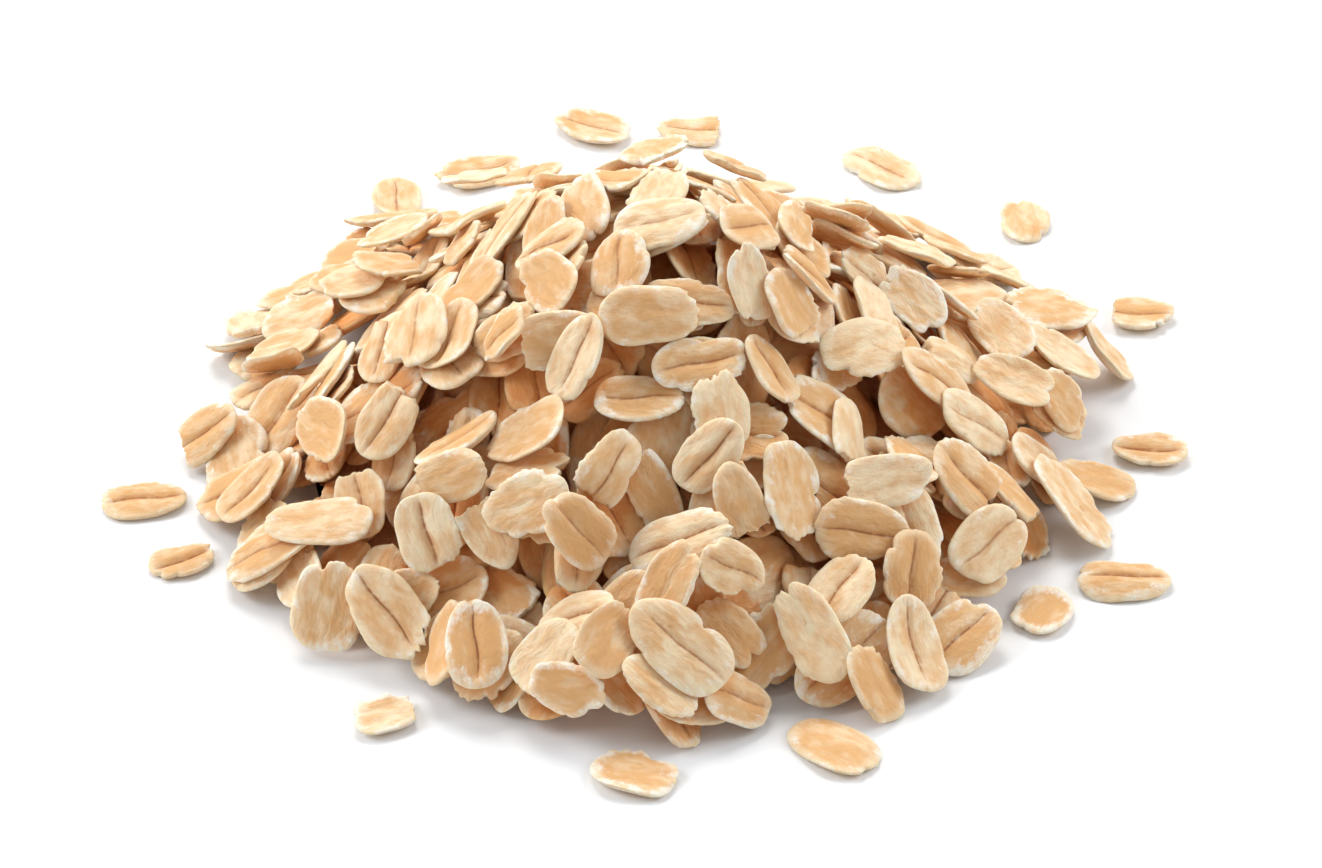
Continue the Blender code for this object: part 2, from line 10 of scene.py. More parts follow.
import bpy
import numpy as np
from bpy.props import FloatProperty, FloatVectorProperty, PointerProperty
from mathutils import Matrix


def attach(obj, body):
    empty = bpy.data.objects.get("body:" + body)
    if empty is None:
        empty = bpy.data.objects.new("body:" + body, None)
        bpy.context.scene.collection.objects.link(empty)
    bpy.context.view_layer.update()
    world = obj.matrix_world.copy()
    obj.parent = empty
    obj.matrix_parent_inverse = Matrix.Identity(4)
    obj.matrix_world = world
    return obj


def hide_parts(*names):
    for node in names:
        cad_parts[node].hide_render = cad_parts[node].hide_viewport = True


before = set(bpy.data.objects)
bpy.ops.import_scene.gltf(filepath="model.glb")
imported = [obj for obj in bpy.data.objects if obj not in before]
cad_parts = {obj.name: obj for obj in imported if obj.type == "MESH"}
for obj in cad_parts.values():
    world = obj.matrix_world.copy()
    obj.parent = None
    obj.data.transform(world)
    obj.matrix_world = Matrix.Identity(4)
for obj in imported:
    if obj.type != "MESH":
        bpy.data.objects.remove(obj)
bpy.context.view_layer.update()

bl_info = {
    "name": "Rolled oats",
    "version": (1, 0, 0),
    "blender": (4, 5, 0),
    "location": "View3D > Sidebar > Rolled oats",
    "description": "Makes a heap of rolled oat flakes and the studio round it",
    "category": "Add Mesh",
}

MM = 0.001

# The heap as a whole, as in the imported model.
PEAK_HEIGHT = 33 * MM
APEX_ROUNDING = 5 * MM
SLOPE = math.tan(math.radians(39))
SKIRT_RADIUS = 49 * MM
SKIRT_HEIGHT = 3.2 * MM
SKIRT_BLEND = 1.6 * MM
FAR_STEEPNESS = 0.14
FAR_SKIRT = 0.6
FAR_BLEND = 6 * MM
CORE_DEPTH = 7 * MM
LUMP_HEIGHT = 0.9 * MM
LUMP_PITCH = 7 * MM

# One flake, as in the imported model.
FLAKE_LENGTH = 9.0 * MM
FLAKE_LENGTH_SPREAD = 1.2 * MM
FLAKE_LENGTH_RANGE = (6.4 * MM, 11.8 * MM)
FLAKE_WIDTH_SHARE = (0.58, 0.80)
FLAKE_WIDTH_RANGE = (4.6 * MM, 7.6 * MM)
FLAKE_THICKNESS = 0.95 * MM
FLAKE_THICKNESS_SHARE = (0.82, 1.12)
RIM_SHARE = 0.62
EGG = 0.10
ROUNDNESS = 2.3
STEEPEST = 1.5
KINDS = ("creased", "smooth", "ragged")
KIND_SHARES = (0.5, 0.35, 0.15)
BOW_SPREAD = 12
CUP = 8
CUP_SPREAD = 22
TWIST_SPREAD = 9

# How the flakes are laid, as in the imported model.
SEED = 25
BED_HALF = 66 * MM
BED_CELL = 0.4 * MM
MOST_LAID = 900
PLACES_TRIED = 10
NEAR_CELLS = 6
LEVEL_TOLERANCE = 0.02 * MM
EDGE_MARGIN = 3 * MM
SLOPE_REACH = 1 * MM
PROPPED_SHARE = 0.7
PROP_RANGE = (0.8 * MM, 3.4 * MM)
PROP_SWING = 0.7
PLACED_LAYER = 0.6 * MM
LOOSE_MARGIN = 0.9 * MM
RING_COUNTS = (1, 6, 12, 18)
RING_SHARES = (0, 0.45, 0.8, 1.0)
SETTLE_ROUNDS = 4
SETTLE_STEPS = 24
FIRST_STEP = 0.28

# Flakes that lie apart on the surface. Kind, middle (x, y) in mm, turn in degrees, length and width in mm.
LOOSE_FLAKES = {
    "loose_flake_far_left": ("creased", -52, -9, 10, 8.8, 5.8),
    "loose_flake_left_low": ("creased", -47.5, -19, 30, 7.0, 4.8),
    "loose_flake_front_left": ("ragged", -26, -43, 20, 7.2, 5.4),
    "loose_flake_front": ("smooth", -1.5, -51.5, 165, 8.6, 6.6),
    "loose_flake_front_right": ("smooth", 18, -47.5, 140, 10.2, 6.6),
    "loose_flake_right_near": ("smooth", 39.5, -27, 60, 7.0, 5.8),
    "loose_flake_right_front": ("creased", 48, -22, 0, 9.6, 6.2),
    "loose_flake_right_low": ("creased", 52, -1, 175, 8.0, 5.2),
    "loose_flake_right": ("creased", 52, 22.5, 175, 8.2, 5.4),
    "loose_flake_back_far_right": ("smooth", 41, 40, 95, 7.6, 5.6),
    "loose_flake_back_right": ("creased", 25.5, 50, 140, 9.8, 6.0),
    "loose_flake_back": ("creased", 5, 57, 175, 8.8, 5.0),
    "loose_flake_back_mid": ("creased", -6.5, 57.5, 155, 9.0, 5.8),
    "loose_flake_back_left": ("creased", -19, 49, 20, 9.6, 5.6),
    "loose_flake_back_far_left": ("creased", -28, 44.5, 95, 7.5, 5.5),
}

# Flakes that stand out on the heap, in the order they lie on one another, with the same columns.
PLACED_FLAKES = [
    # The far and outer edge.
    ("smooth", -32.5, 30, 150, 7.5, 5.0),
    ("creased", -28, 36, 18, 10.5, 5.0),
    ("smooth", -24, 25, 80, 8.0, 5.0),
    ("smooth", -27.5, 28, 35, 8.5, 5.4),
    ("smooth", -42.5, 19.5, 95, 8.2, 6.0),
    ("smooth", -38, 24, 5, 8.8, 5.4),
    ("smooth", -37, 15, 10, 8.5, 6.5),
    ("creased", -46, -1.5, 0, 9.0, 6.0),
    ("smooth", 42.5, 0, 170, 7.5, 5.5),
    ("smooth", 48, 13, 155, 8.0, 5.6),
    ("ragged", 42, 14, 5, 9.8, 7.2),
    ("smooth", 43, 7, 0, 9.0, 6.2),
    ("creased", 31, 34, 160, 9.6, 5.2),
    ("smooth", 39.5, 24, 165, 9.0, 7.6),
    ("smooth", 33, 29, 165, 7.5, 5.0),
    ("smooth", 32.5, 20, 130, 7.6, 5.6),
    ("creased", 24.5, 25.5, 170, 9.0, 5.4),
    ("creased", 28, 27, 130, 10.0, 5.4),
    ("creased", 28, 18, 165, 8.6, 5.8),
    ("smooth", 36.5, 7, 125, 9.0, 5.6),
    ("smooth", 30.5, 9, 155, 8.6, 4.8),
    ("smooth", 31, 0, 20, 8.0, 4.8),
    ("smooth", 37.5, -1, 150, 9.0, 5.0),
    ("smooth", 14.5, 33, 10, 8.5, 5.0),
    ("smooth", 22, 36, 160, 7.0, 5.0),
    ("creased", -30, 20, 23, 8.8, 5.2),
    ("smooth", -31, 12, 156, 8.0, 5.5),
    ("ragged", -27, 13, 20, 8.4, 5.8),
    ("smooth", -39.5, 6, 151, 8.0, 5.0),
    ("smooth", -38.5, 9.5, 175, 8.6, 5.6),
    ("creased", -32.5, -4, 62, 9.5, 5.4),
    ("creased", -34, -1, 60, 10.0, 6.4),
    # Round the peak.
    ("smooth", 15, 4, 85, 9.0, 5.0),
    ("ragged", 19, 10, 120, 8.5, 6.5),
    ("smooth", -10.5, 0, 80, 7.5, 5.0),
    ("smooth", -18, 14, 40, 8.0, 5.0),
    ("creased", -15, 4, 50, 11.5, 5.5),
    ("smooth", -18, -3, 30, 8.5, 6.0),
    ("creased", -10, -4, 160, 9.5, 5.2),
    ("creased", 10, -3, 55, 10.0, 6.0),
    ("smooth", -10, -9, 120, 8.0, 6.0),
    ("creased", 1, -5, 0, 9.6, 6.5),
    ("creased", 4, -12, 0, 9.0, 5.0),
    ("smooth", -3, -13, 135, 8.0, 6.0),
    ("creased", -3, -9, 85, 7.6, 6.3),
    ("smooth", 10, -10, 115, 8.0, 5.0),
    ("smooth", 14, -10, 140, 8.0, 6.5),
    ("creased", 16, -5, 20, 9.5, 5.5),
    ("smooth", 23, 0, 100, 9.0, 6.0),
    # Down the middle.
    ("smooth", -14, -12, 165, 9.0, 5.5),
    ("smooth", -9, -15, 5, 9.0, 6.0),
    ("creased", -1, -20, 0, 9.0, 5.5),
    ("creased", 5, -17, 20, 10.0, 5.5),
    ("smooth", 0, -15, 15, 10.5, 6.0),
    ("creased", -7, -18, 40, 9.5, 6.0),
    ("creased", 12, -16, 130, 8.0, 5.0),
    ("ragged", 7, -21, 95, 8.0, 6.3),
    ("ragged", -12, -25, 170, 9.0, 5.5),
    ("smooth", -12, -22, 170, 10.0, 6.0),
    ("creased", 6, -25, 25, 8.5, 5.5),
    ("smooth", 0, -26, 135, 10.0, 4.8),
    ("creased", -4, -27, 50, 9.0, 5.5),
    ("smooth", 9, -29, 130, 9.0, 5.0),
    ("smooth", 14, -26, 105, 10.0, 7.5),
    ("ragged", -12, -29, 175, 9.5, 6.5),
    ("creased", 3, -32, 0, 11.0, 6.2),
    ("creased", -7, -32, 160, 8.8, 6.0),
    ("smooth", -2, -37, 40, 8.0, 6.0),
    ("creased", -7, -38, 170, 8.5, 5.5),
    ("smooth", 8, -38, 150, 8.0, 5.0),
    ("creased", 8, -35, 5, 7.5, 5.5),
    ("ragged", 2, -37, 50, 9.0, 5.5),
    # The near edge.
    ("smooth", -10, -41, 35, 8.3, 6.0),
    ("smooth", -8, -45, 160, 8.0, 5.2),
    ("smooth", -4, -42, 60, 8.5, 6.0),
    ("creased", 8.5, -43.5, 10, 8.0, 5.6),
    ("smooth", 1, -45, 160, 8.5, 5.0),
    ("creased", 3, -42, 155, 11.8, 7.2),
    ("creased", -40.5, -12.5, 40, 9.0, 6.0),
    ("creased", -38, -22, 0, 11.2, 5.8),
    ("smooth", -32, -31, 80, 9.5, 7.2),
    ("creased", -26, -33, 135, 10.5, 6.8),
    ("smooth", -20, -37, 75, 9.0, 5.0),
    ("creased", -17, -39, 95, 9.0, 6.2),
    # The left side.
    ("creased", -27, -6, 74, 8.0, 5.5),
    ("creased", -20, -9, 72, 9.0, 6.2),
    ("creased", -23.5, -8, 84, 9.5, 7.2),
    ("creased", -14.5, -14, 165, 7.0, 5.5),
    ("creased", -26, -15, 30, 9.5, 6.0),
    ("smooth", -33, -12, 125, 9.0, 6.5),
    ("creased", -19, -20, 25, 9.5, 5.5),
    ("creased", -29, -20, 100, 8.0, 6.2),
    ("smooth", -33, -22, 165, 12.0, 5.8),
    ("smooth", -20, -25, 175, 8.5, 5.2),
    ("creased", -22, -28, 115, 8.0, 6.5),
    # The right side.
    ("smooth", 22, -9, 35, 11.0, 6.3),
    ("creased", 29, -8, 30, 11.5, 5.7),
    ("creased", 33, -9, 30, 11.5, 6.0),
    ("smooth", 20, -18, 90, 8.8, 5.0),
    ("ragged", 26, -18, 105, 8.0, 5.4),
    ("ragged", 40, -8, 30, 10.5, 6.5),
    ("creased", 32, -18, 155, 9.8, 7.0),
    ("smooth", 46, -7, 175, 8.5, 5.5),
    ("ragged", 43, -13, 130, 12.0, 7.2),
    ("ragged", 23, -23, 15, 11.0, 5.5),
    ("creased", 21, -27, 10, 9.8, 6.5),
    ("creased", 34, -23, 45, 9.8, 6.8),
    ("creased", 26, -29, 80, 8.2, 6.6),
    ("creased", 19, -33, 55, 8.2, 6.0),
    ("smooth", 16, -38, 125, 11.0, 5.8),
    ("smooth", 22, -41, 135, 8.5, 6.0),
    ("creased", 31, -33, 45, 9.5, 6.8),
    ("creased", 26, -36, 105, 10.2, 6.6),
]

# Flakes that only this scene has, where the floor showed through the heap, with the same columns.
FILLING_FLAKES = [
    ("smooth", -34.3, 21.6, 25, 7.8, 5.4),
    ("smooth", -19, 33.2, 160, 7.5, 5.2),
    ("smooth", -32.8, 18.4, 150, 7.4, 5.0),
]

# The surface of a flake. The lines of its square grid lie closer together at the crease and at the rim.
ALONG_LINES = (0.1, 0.2, 0.3, 0.4, 0.5, 0.6, 0.7, 0.79, 0.87, 0.935, 0.98, 1.0)
ACROSS_LINES = (0.05, 0.13, 0.25, 0.4, 0.56, 0.72, 0.86, 0.95, 1.0)
COARSE_ALONG = (0.25, 0.5, 0.72, 0.9, 1.0)
COARSE_ACROSS = (0.12, 0.4, 0.75, 1.0)
FINE_AREA = 1.2 * MM * MM
LOOK_SEED = 7
TORN_CHANCE = {"creased": 0.55, "smooth": 0.5, "ragged": 1.0}
RIM_ROUNDING = 0.2
RIM_SWELL = 1.06
RIM_WAVES = np.arange(3, 34)
RIM_WAVE_SIZE = 0.0115
FIRST_TORN_WAVE = 7
MOST_TORN = 0.12
CRINKLE_HEIGHT = 1.5 * MM
FRILL_HEIGHT = 0.16 * MM
CURL_HEIGHT = 0.65 * MM
DISH_DEPTH = 0.6 * MM
LOBE_HEIGHT = 0.20 * MM
LOBE_PLACE = 0.45
LOBE_WIDTH = 0.26
CREASE_DEPTH = 0.29 * MM
CREASE_WIDTH = 0.28 * MM
RIDGE_PITCH = (1.3 * MM, 2.6 * MM)
RIDGE_HEIGHT = 0.07 * MM
UNDER_RIDGE_HEIGHT = 0.03 * MM
UNDER_SHIFT = 9
POINT_MARKS = ("rim", "crease", "shift", "tone", "flour", "buried_shade")

# The imported middle, and from what depth to what depth the flakes that lie deep are darkened by painted
# shade.
CORE_REACH = 35 * MM
CORE_RINGS = 90
CORE_SPOKES = 144
CORE_DROP = 0.15 * MM
PAINTED_SHADE_FROM = 0.5 * MM
PAINTED_SHADE_TO = 5.0 * MM
FLOOR_GAP = 0.02 * MM

# The camera, from how the photograph's flakes look: its height above the surface and its distance.
CAMERA_TILT = 38
CAMERA_DISTANCE = 600 * MM
IMAGE_WIDTH = 1322
FOCAL_PIXELS = 5760
SENSOR = 36
AIM_RIGHT = 1.15 * MM
AIM_UP = 1.67 * MM

# The floor, and the soft lights that face the heap, with their places in metres.
FLOOR_HALF = 3.0
BEHIND = (-0.12, 0.55, 0.75)
LEFT = (-0.70, 0.10, 0.50)
RIGHT = (0.70, 0.15, 0.50)
SIDE_SIZE = 1.2
RIGHT_POWER = 0.8
WARM_LIGHT = (1.0, 0.985, 0.96)
COOL_LIGHT = (0.95, 1.0, 1.06)


def heap_profile(x, y):
    """The heap's height: a rounded cone that runs out into a skirt, steeper and thicker on the far side."""
    radius = np.hypot(x, y)
    far = 1 / (1 + np.exp(-y / FAR_BLEND))
    slope = SLOPE * (1 + FAR_STEEPNESS * far)
    cone = PEAK_HEIGHT - slope * (np.hypot(radius, APEX_ROUNDING) - APEX_ROUNDING)
    reach = np.clip(1 - (radius / SKIRT_RADIUS) ** 4, 0, 1)
    skirt = SKIRT_HEIGHT * (1 + FAR_SKIRT * far) * reach
    return (skirt + SKIRT_BLEND * np.logaddexp(0, (cone - skirt) / SKIRT_BLEND)) * (reach > 0)


def packed_middle(x, y):
    """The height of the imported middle, a lumpy heap one layer smaller."""
    wave = 2 * math.pi / LUMP_PITCH
    lumps = np.sin(x * wave + 1) * np.cos(y * wave * 0.87 + 2) + 0.8 * np.sin((x + y) * wave * 0.58)
    middle = heap_profile(x, y) - CORE_DEPTH
    return np.maximum(0, middle + LUMP_HEIGHT * lumps * (middle > 0))


class Bed:
    """What lies under the next flake: a grid of heights, and the flake on top in each cell."""

    def __init__(self):
        line = np.arange(-BED_HALF, BED_HALF + BED_CELL / 2, BED_CELL)
        self.x, self.y = np.meshgrid(line, line, indexing="ij")
        self.height = packed_middle(self.x, self.y)
        self.owner = np.full(self.height.shape, -1)
        self.kept_clear = np.zeros(self.height.shape, bool)

    def cell(self, x):
        nearest = np.round((np.asarray(x) + BED_HALF) / BED_CELL).astype(int)
        return np.clip(nearest, 0, len(self.x) - 1)

    def at(self, x, y):
        return self.height[self.cell(x), self.cell(y)]


def sample_rings():
    """Points of the unit disc in rings, as cosine, sine and share of the way to the rim."""
    found = []
    for count, share in zip(RING_COUNTS, RING_SHARES):
        angle = 2 * math.pi * (np.arange(count) + 0.5 * (count % 4 == 0)) / count
        found.append(np.column_stack([np.cos(angle), np.sin(angle), np.full(count, share)]))
    return np.concatenate(found)


RINGS = sample_rings()
OUTER_RING = len(RINGS) - RING_COUNTS[-1]


def outline(flake, cosine, sine):
    """The flake's rim in that direction: a superellipse, narrower towards one end."""
    radius = (np.abs(cosine) ** ROUNDNESS + np.abs(sine) ** ROUNDNESS) ** (-1 / ROUNDNESS)
    along = radius * cosine
    across = radius * sine * (1 - EGG * along)
    return along * flake["length"] / 2, across * flake["width"] / 2


def warp(flake, x, y):
    """How far the flake's middle sheet rises at x, y: a bow along it, a cup across it and a twist."""
    return flake["bow"] * x * x + flake["cup"] * y * y + flake["twist"] * x * y


def half_thickness(flake, share):
    """Half the flake's thickness at that share of the way to its rim."""
    return flake["thickness"] / 2 * (1 - (1 - RIM_SHARE) * share**2)


def axes_of(slope, turn):
    """A flake's axes along, across and normal, for a plane of that slope and a turn on the plan."""
    normal = np.array([-slope[0], -slope[1], 1.0])
    normal /= np.linalg.norm(normal)
    along = np.array([math.cos(turn), math.sin(turn), 0.0])
    along[2] = slope @ along[:2]
    along /= np.linalg.norm(along)
    return np.column_stack([along, np.cross(normal, along), normal])


def settle(bed, flake, slope):
    """Lets the flake come to rest: the tilt that brings its centre lowest, clear of what is below.

    The slope is improved in small steps, each of which lifts the side that touches first.
    """
    cosine, sine, share = RINGS.T
    x, y = outline(flake, cosine, sine)
    x, y = x * share, y * share
    under = np.column_stack([x, y, warp(flake, x, y) - half_thickness(flake, share)])
    slope = np.array(slope, float)
    for _ in range(SETTLE_ROUNDS):
        points = under @ axes_of(slope, flake["turn"]).T
        plan = points[:, :2]
        ground = bed.at(flake["x"] + plan[:, 0], flake["y"] + plan[:, 1])
        need = ground - (points[:, 2] - plan @ slope)
        need[flake["prop_at"]] += flake["prop"]
        reach = np.linalg.norm(plan, axis=1)
        for step in range(SETTLE_STEPS):
            worst = np.argmax(need - plan @ slope)
            if reach[worst] > 0:
                slope += FIRST_STEP / (step + 2) * plan[worst] / reach[worst]
            slope *= min(1, STEEPEST / max(np.linalg.norm(slope), 1e-9))
    flake["axes"] = axes_of(slope, flake["turn"])
    points = under @ flake["axes"].T
    ground = bed.at(flake["x"] + points[:, 0], flake["y"] + points[:, 1])
    flake["z"] = float((ground - points[:, 2]).max())


def under_flake(bed, flake, margin=0.0):
    """The part of the bed round the flake, with each cell's x, y on the flake and its share to the rim."""
    half = flake["length"] / 2 + margin + BED_CELL
    i = bed.cell([flake["x"] - half, flake["x"] + half])
    j = bed.cell([flake["y"] - half, flake["y"] + half])
    part = (slice(i[0], i[1] + 1), slice(j[0], j[1] + 1))
    right, back = bed.x[part] - flake["x"], bed.y[part] - flake["y"]
    axes = flake["axes"]
    plan = axes[0, 0] * axes[1, 1] - axes[0, 1] * axes[1, 0]
    x = (axes[1, 1] * right - axes[0, 1] * back) / plan
    y = (axes[0, 0] * back - axes[1, 0] * right) / plan
    along = x / (flake["length"] / 2 + margin)
    across = y / (flake["width"] / 2 * (1 - EGG * np.clip(along, -1, 1)) + margin)
    share = (np.abs(along) ** ROUNDNESS + np.abs(across) ** ROUNDNESS) ** (1 / ROUNDNESS)
    return part, x, y, share


def cover(bed, flake, number):
    """Raises the bed to the flake's top wherever the flake lies."""
    part, x, y, share = under_flake(bed, flake)
    axes = flake["axes"]
    top = flake["z"] + x * axes[2, 0] + y * axes[2, 1]
    top += (warp(flake, x, y) + half_thickness(flake, share)) / axes[2, 2]
    higher = (share <= 1) & (top > bed.height[part])
    bed.height[part] = np.where(higher, top, bed.height[part])
    bed.owner[part] = np.where(higher, number, bed.owner[part])


def touches_kept_clear(bed, flake):
    """Whether the flake lies over a cell kept for one that lies apart."""
    part, _, _, share = under_flake(bed, flake)
    return bool((bed.kept_clear[part] & (share <= 1)).any())


def make_flake(draw, kind, x, y, turn, length, width):
    return {
        "kind": kind,
        "x": x,
        "y": y,
        "turn": turn,
        "length": length,
        "width": width,
        "thickness": FLAKE_THICKNESS * draw.uniform(*FLAKE_THICKNESS_SHARE),
        "bow": draw.normal(0, BOW_SPREAD),
        "cup": draw.normal(CUP, CUP_SPREAD),
        "twist": draw.normal(0, TWIST_SPREAD),
        "prop": 0.0,
        "prop_at": 0,
    }


def random_flake(draw, x, y):
    length = np.clip(draw.normal(FLAKE_LENGTH, FLAKE_LENGTH_SPREAD), *FLAKE_LENGTH_RANGE)
    width = np.clip(length * draw.uniform(*FLAKE_WIDTH_SHARE), *FLAKE_WIDTH_RANGE)
    kind = draw.choice(KINDS, p=KIND_SHARES)
    flake = make_flake(draw, kind, x, y, draw.uniform(0, 2 * math.pi), length, width)
    if draw.random() < PROPPED_SHARE:
        flake["prop"] = draw.uniform(*PROP_RANGE) * np.linalg.norm(downhill(x, y)) / SLOPE
        flake["prop_at"] = outward_sample(flake, draw.normal(0, PROP_SWING))
    return flake


def outward_sample(flake, swing):
    """The rim sample on the flake's outer side, seen from the heap's middle, give or take an angle."""
    outward = math.atan2(flake["y"], flake["x"]) + swing - flake["turn"]
    rim = RINGS[OUTER_RING:]
    return OUTER_RING + int(np.argmax(rim[:, 0] * math.cos(outward) + rim[:, 1] * math.sin(outward)))


def placed_flake(draw, kind, x, y, turn, length, width):
    """A flake from one of the tables, whose columns are in millimetres and degrees."""
    return make_flake(draw, kind, x * MM, y * MM, math.radians(turn), length * MM, width * MM)


def emptiest_place(bed, target, draw):
    """Of a few random places on the heap, the one furthest below the profile, and by how much."""
    places = draw.uniform(-SKIRT_RADIUS, SKIRT_RADIUS, (6 * PLACES_TRIED, 2))
    inside = np.hypot(*places.T) < SKIRT_RADIUS - EDGE_MARGIN
    places = places[inside][:PLACES_TRIED]
    wanting = []
    for i, j in bed.cell(places):
        near = (slice(i - NEAR_CELLS, i + NEAR_CELLS + 1), slice(j - NEAR_CELLS, j + NEAR_CELLS + 1))
        wanting.append((target[near] - bed.height[near]).mean())
    best = int(np.argmax(wanting))
    return places[best], wanting[best]


def downhill(x, y):
    """The slope of the heap's side at x, y, from its height a little way off on each side."""
    ahead = heap_profile(x + np.array([SLOPE_REACH, 0]), y + np.array([0, SLOPE_REACH]))
    behind = heap_profile(x - np.array([SLOPE_REACH, 0]), y - np.array([0, SLOPE_REACH]))
    return (ahead - behind) / (2 * SLOPE_REACH)


def lay_loose(bed, draw):
    """Lays each flake that lies apart, and keeps the heap's own flakes off its cells."""
    bare = Bed()
    bare.height[:] = 0
    loose = {}
    for name, row in LOOSE_FLAKES.items():
        flake = placed_flake(draw, *row)
        settle(bare, flake, (0, 0))
        part, _, _, share = under_flake(bed, flake, LOOSE_MARGIN)
        bed.kept_clear[part] |= share <= 1
        loose[name] = flake
    return loose


@functools.cache
def lay_heap():
    """Drops flakes where the heap is emptiest, until it has its profile, and the placed ones last."""
    draw = np.random.default_rng(SEED)
    bed = Bed()
    loose = lay_loose(bed, draw)
    target = heap_profile(bed.x, bed.y) - PLACED_LAYER * (bed.y < 0)
    flakes = []
    for _ in range(MOST_LAID):
        place, wanting = emptiest_place(bed, target, draw)
        if wanting < LEVEL_TOLERANCE and len(flakes) > MOST_LAID // 5:
            break
        flake = random_flake(draw, *place)
        settle(bed, flake, downhill(*place))
        if not touches_kept_clear(bed, flake):
            cover(bed, flake, len(flakes))
            flakes.append(flake)
    for row in PLACED_FLAKES + FILLING_FLAKES:
        flake = placed_flake(draw, *row)
        settle(bed, flake, downhill(flake["x"], flake["y"]))
        cover(bed, flake, len(flakes))
        flakes.append(flake)
    give_character(flakes + list(loose.values()))
    return bed, flakes, loose


def give_character(flakes):
    """Gives each flake the marks that only its own surface has, from a random draw of its own."""
    for number, flake in enumerate(flakes):
        draw = np.random.default_rng((LOOK_SEED, number))
        torn = TORN_CHANCE[flake["kind"]]
        flake["shift"] = draw.uniform(0, 50)
        flake["tone"] = draw.beta(2.0, 2.0)
        flake["flour"] = draw.beta(1.2, 2.5) + 0.25 * (flake["kind"] == "ragged")
        flake["lobe"] = draw.uniform(0.6, 1.2) * (flake["kind"] == "creased")
        flake["groove"] = draw.uniform(0.6, 1.2) * (flake["kind"] == "creased")
        flake["groove_bend"] = draw.normal(0, 11)
        flake["groove_wave"] = draw.uniform(0.06, 0.2) * MM
        flake["groove_off"] = draw.normal(0, 0.05)
        flake["groove_end"] = draw.uniform(0.75, 1.05)
        flake["groove_side"] = draw.choice([-1.0, 1.0])
        flake["ridges"] = draw.uniform(0.4, 1.0)
        flake["ridge_pitch"] = draw.uniform(*RIDGE_PITCH)
        flake["ridge_phase"] = draw.uniform(0, 2 * math.pi)
        flake["rim_size"] = draw.normal(0, 1, len(RIM_WAVES))
        flake["rim_phase"] = draw.uniform(0, 2 * math.pi, len(RIM_WAVES))
        flake["frill"] = draw.uniform(0.3, 1.0)
        flake["frill_waves"] = float(draw.integers(3, 6))
        flake["frill_phase"] = draw.uniform(0, 2 * math.pi)
        flake["curl"] = draw.uniform(0, 1)
        flake["curl_phase"] = draw.uniform(0, 2 * math.pi)
        flake["crinkle"] = 0.6 + torn * draw.uniform(0.3, 1.0)
        flake["torn_at"] = draw.uniform(-math.pi, math.pi)
        flake["torn_all"] = draw.uniform(-0.7, 0.3) + 0.4 * (flake["kind"] == "ragged")
        flake["dish"] = draw.normal(0.15, 0.35)
        flake["notch_at"] = draw.uniform(-math.pi, math.pi, 3)
        flake["notch_width"] = draw.uniform(0.06, 0.26, 3)
        flake["notch_depth"] = draw.uniform(0.06, 0.28, 3) * (draw.random(3) < torn)
        flake["broken"] = 2.0 if draw.random() > 0.4 * torn else draw.uniform(0.55, 0.85)
        flake["broken_side"] = draw.choice([-1.0, 1.0])


def stacked(flakes):
    """Many flakes as one, each of whose marks is an array that spreads over their grids."""
    marks = [mark for mark in flakes[0] if mark != "kind"]
    return {mark: np.array([flake[mark] for flake in flakes], float)[..., None, None] for mark in marks}


def grid_lines(half):
    """Lines from -1 to 1, the same on both sides of 0."""
    return np.concatenate([-np.array(half)[::-1], [0.0], half])


def disc_grid(along_lines, across_lines):
    """The square u, v drawn to the unit disc: p = u sqrt(1 - v²/2), q = v sqrt(1 - u²/2).

    Gives each point's share of the way to the rim and its angle.
    """
    u, v = np.meshgrid(grid_lines(along_lines), grid_lines(across_lines), indexing="ij")
    p, q = u * np.sqrt(1 - v * v / 2), v * np.sqrt(1 - u * u / 2)
    return np.minimum(1, np.hypot(p, q)), np.arctan2(q, p)


def rim_change(flakes, angle):
    """How far the rim is pushed out or in, in each direction, as a share of its distance.

    A sum of waves round the rim gives crinkles, less the more waves a term has, and each notch takes a
    peaked bite, which falls off with the angle from its middle.
    """
    uneven = np.clip(0.9 * np.cos(angle - flakes["torn_at"]) + flakes["torn_all"], 0.08, 1)
    change = np.zeros(uneven.shape)
    for k, waves in enumerate(RIM_WAVES):
        torn = 1.0 if waves < FIRST_TORN_WAVE else uneven
        strength = flakes["rim_size"][:, k] * RIM_WAVE_SIZE * (waves / 6) ** -0.3 * torn
        change += strength * np.cos(waves * angle + flakes["rim_phase"][:, k])
    change *= flakes["crinkle"]
    for k in range(flakes["notch_at"].shape[1]):
        from_notch = np.abs((angle - flakes["notch_at"][:, k] + math.pi) % (2 * math.pi) - math.pi)
        change -= flakes["notch_depth"][:, k] * np.exp(-from_notch / flakes["notch_width"][:, k])
    return change


def flake_plan(flakes, share, angle, torn):
    """Where each point lies along and across its flake, in half lengths and half widths.

    The torn share pushes the rim in or out, and a broken flake ends at a jagged line across it.
    """
    radius = (np.abs(np.cos(angle)) ** ROUNDNESS + np.abs(np.sin(angle)) ** ROUNDNESS) ** (-1 / ROUNDNESS)
    crinkle = 1 + torn * share**3
    along = radius * np.cos(angle) * share * crinkle
    across = radius * np.sin(angle) * share * crinkle
    side, limit = flakes["broken_side"], flakes["broken"]
    jag = 0.035 * np.sin(9 * across + flakes["shift"]) + 0.02 * np.sin(23 * across)
    over = side * along - (limit + jag)
    along = np.where(over > 0, side * (limit + jag + 0.06 * over), along)
    return along, across * (1 - EGG * along)


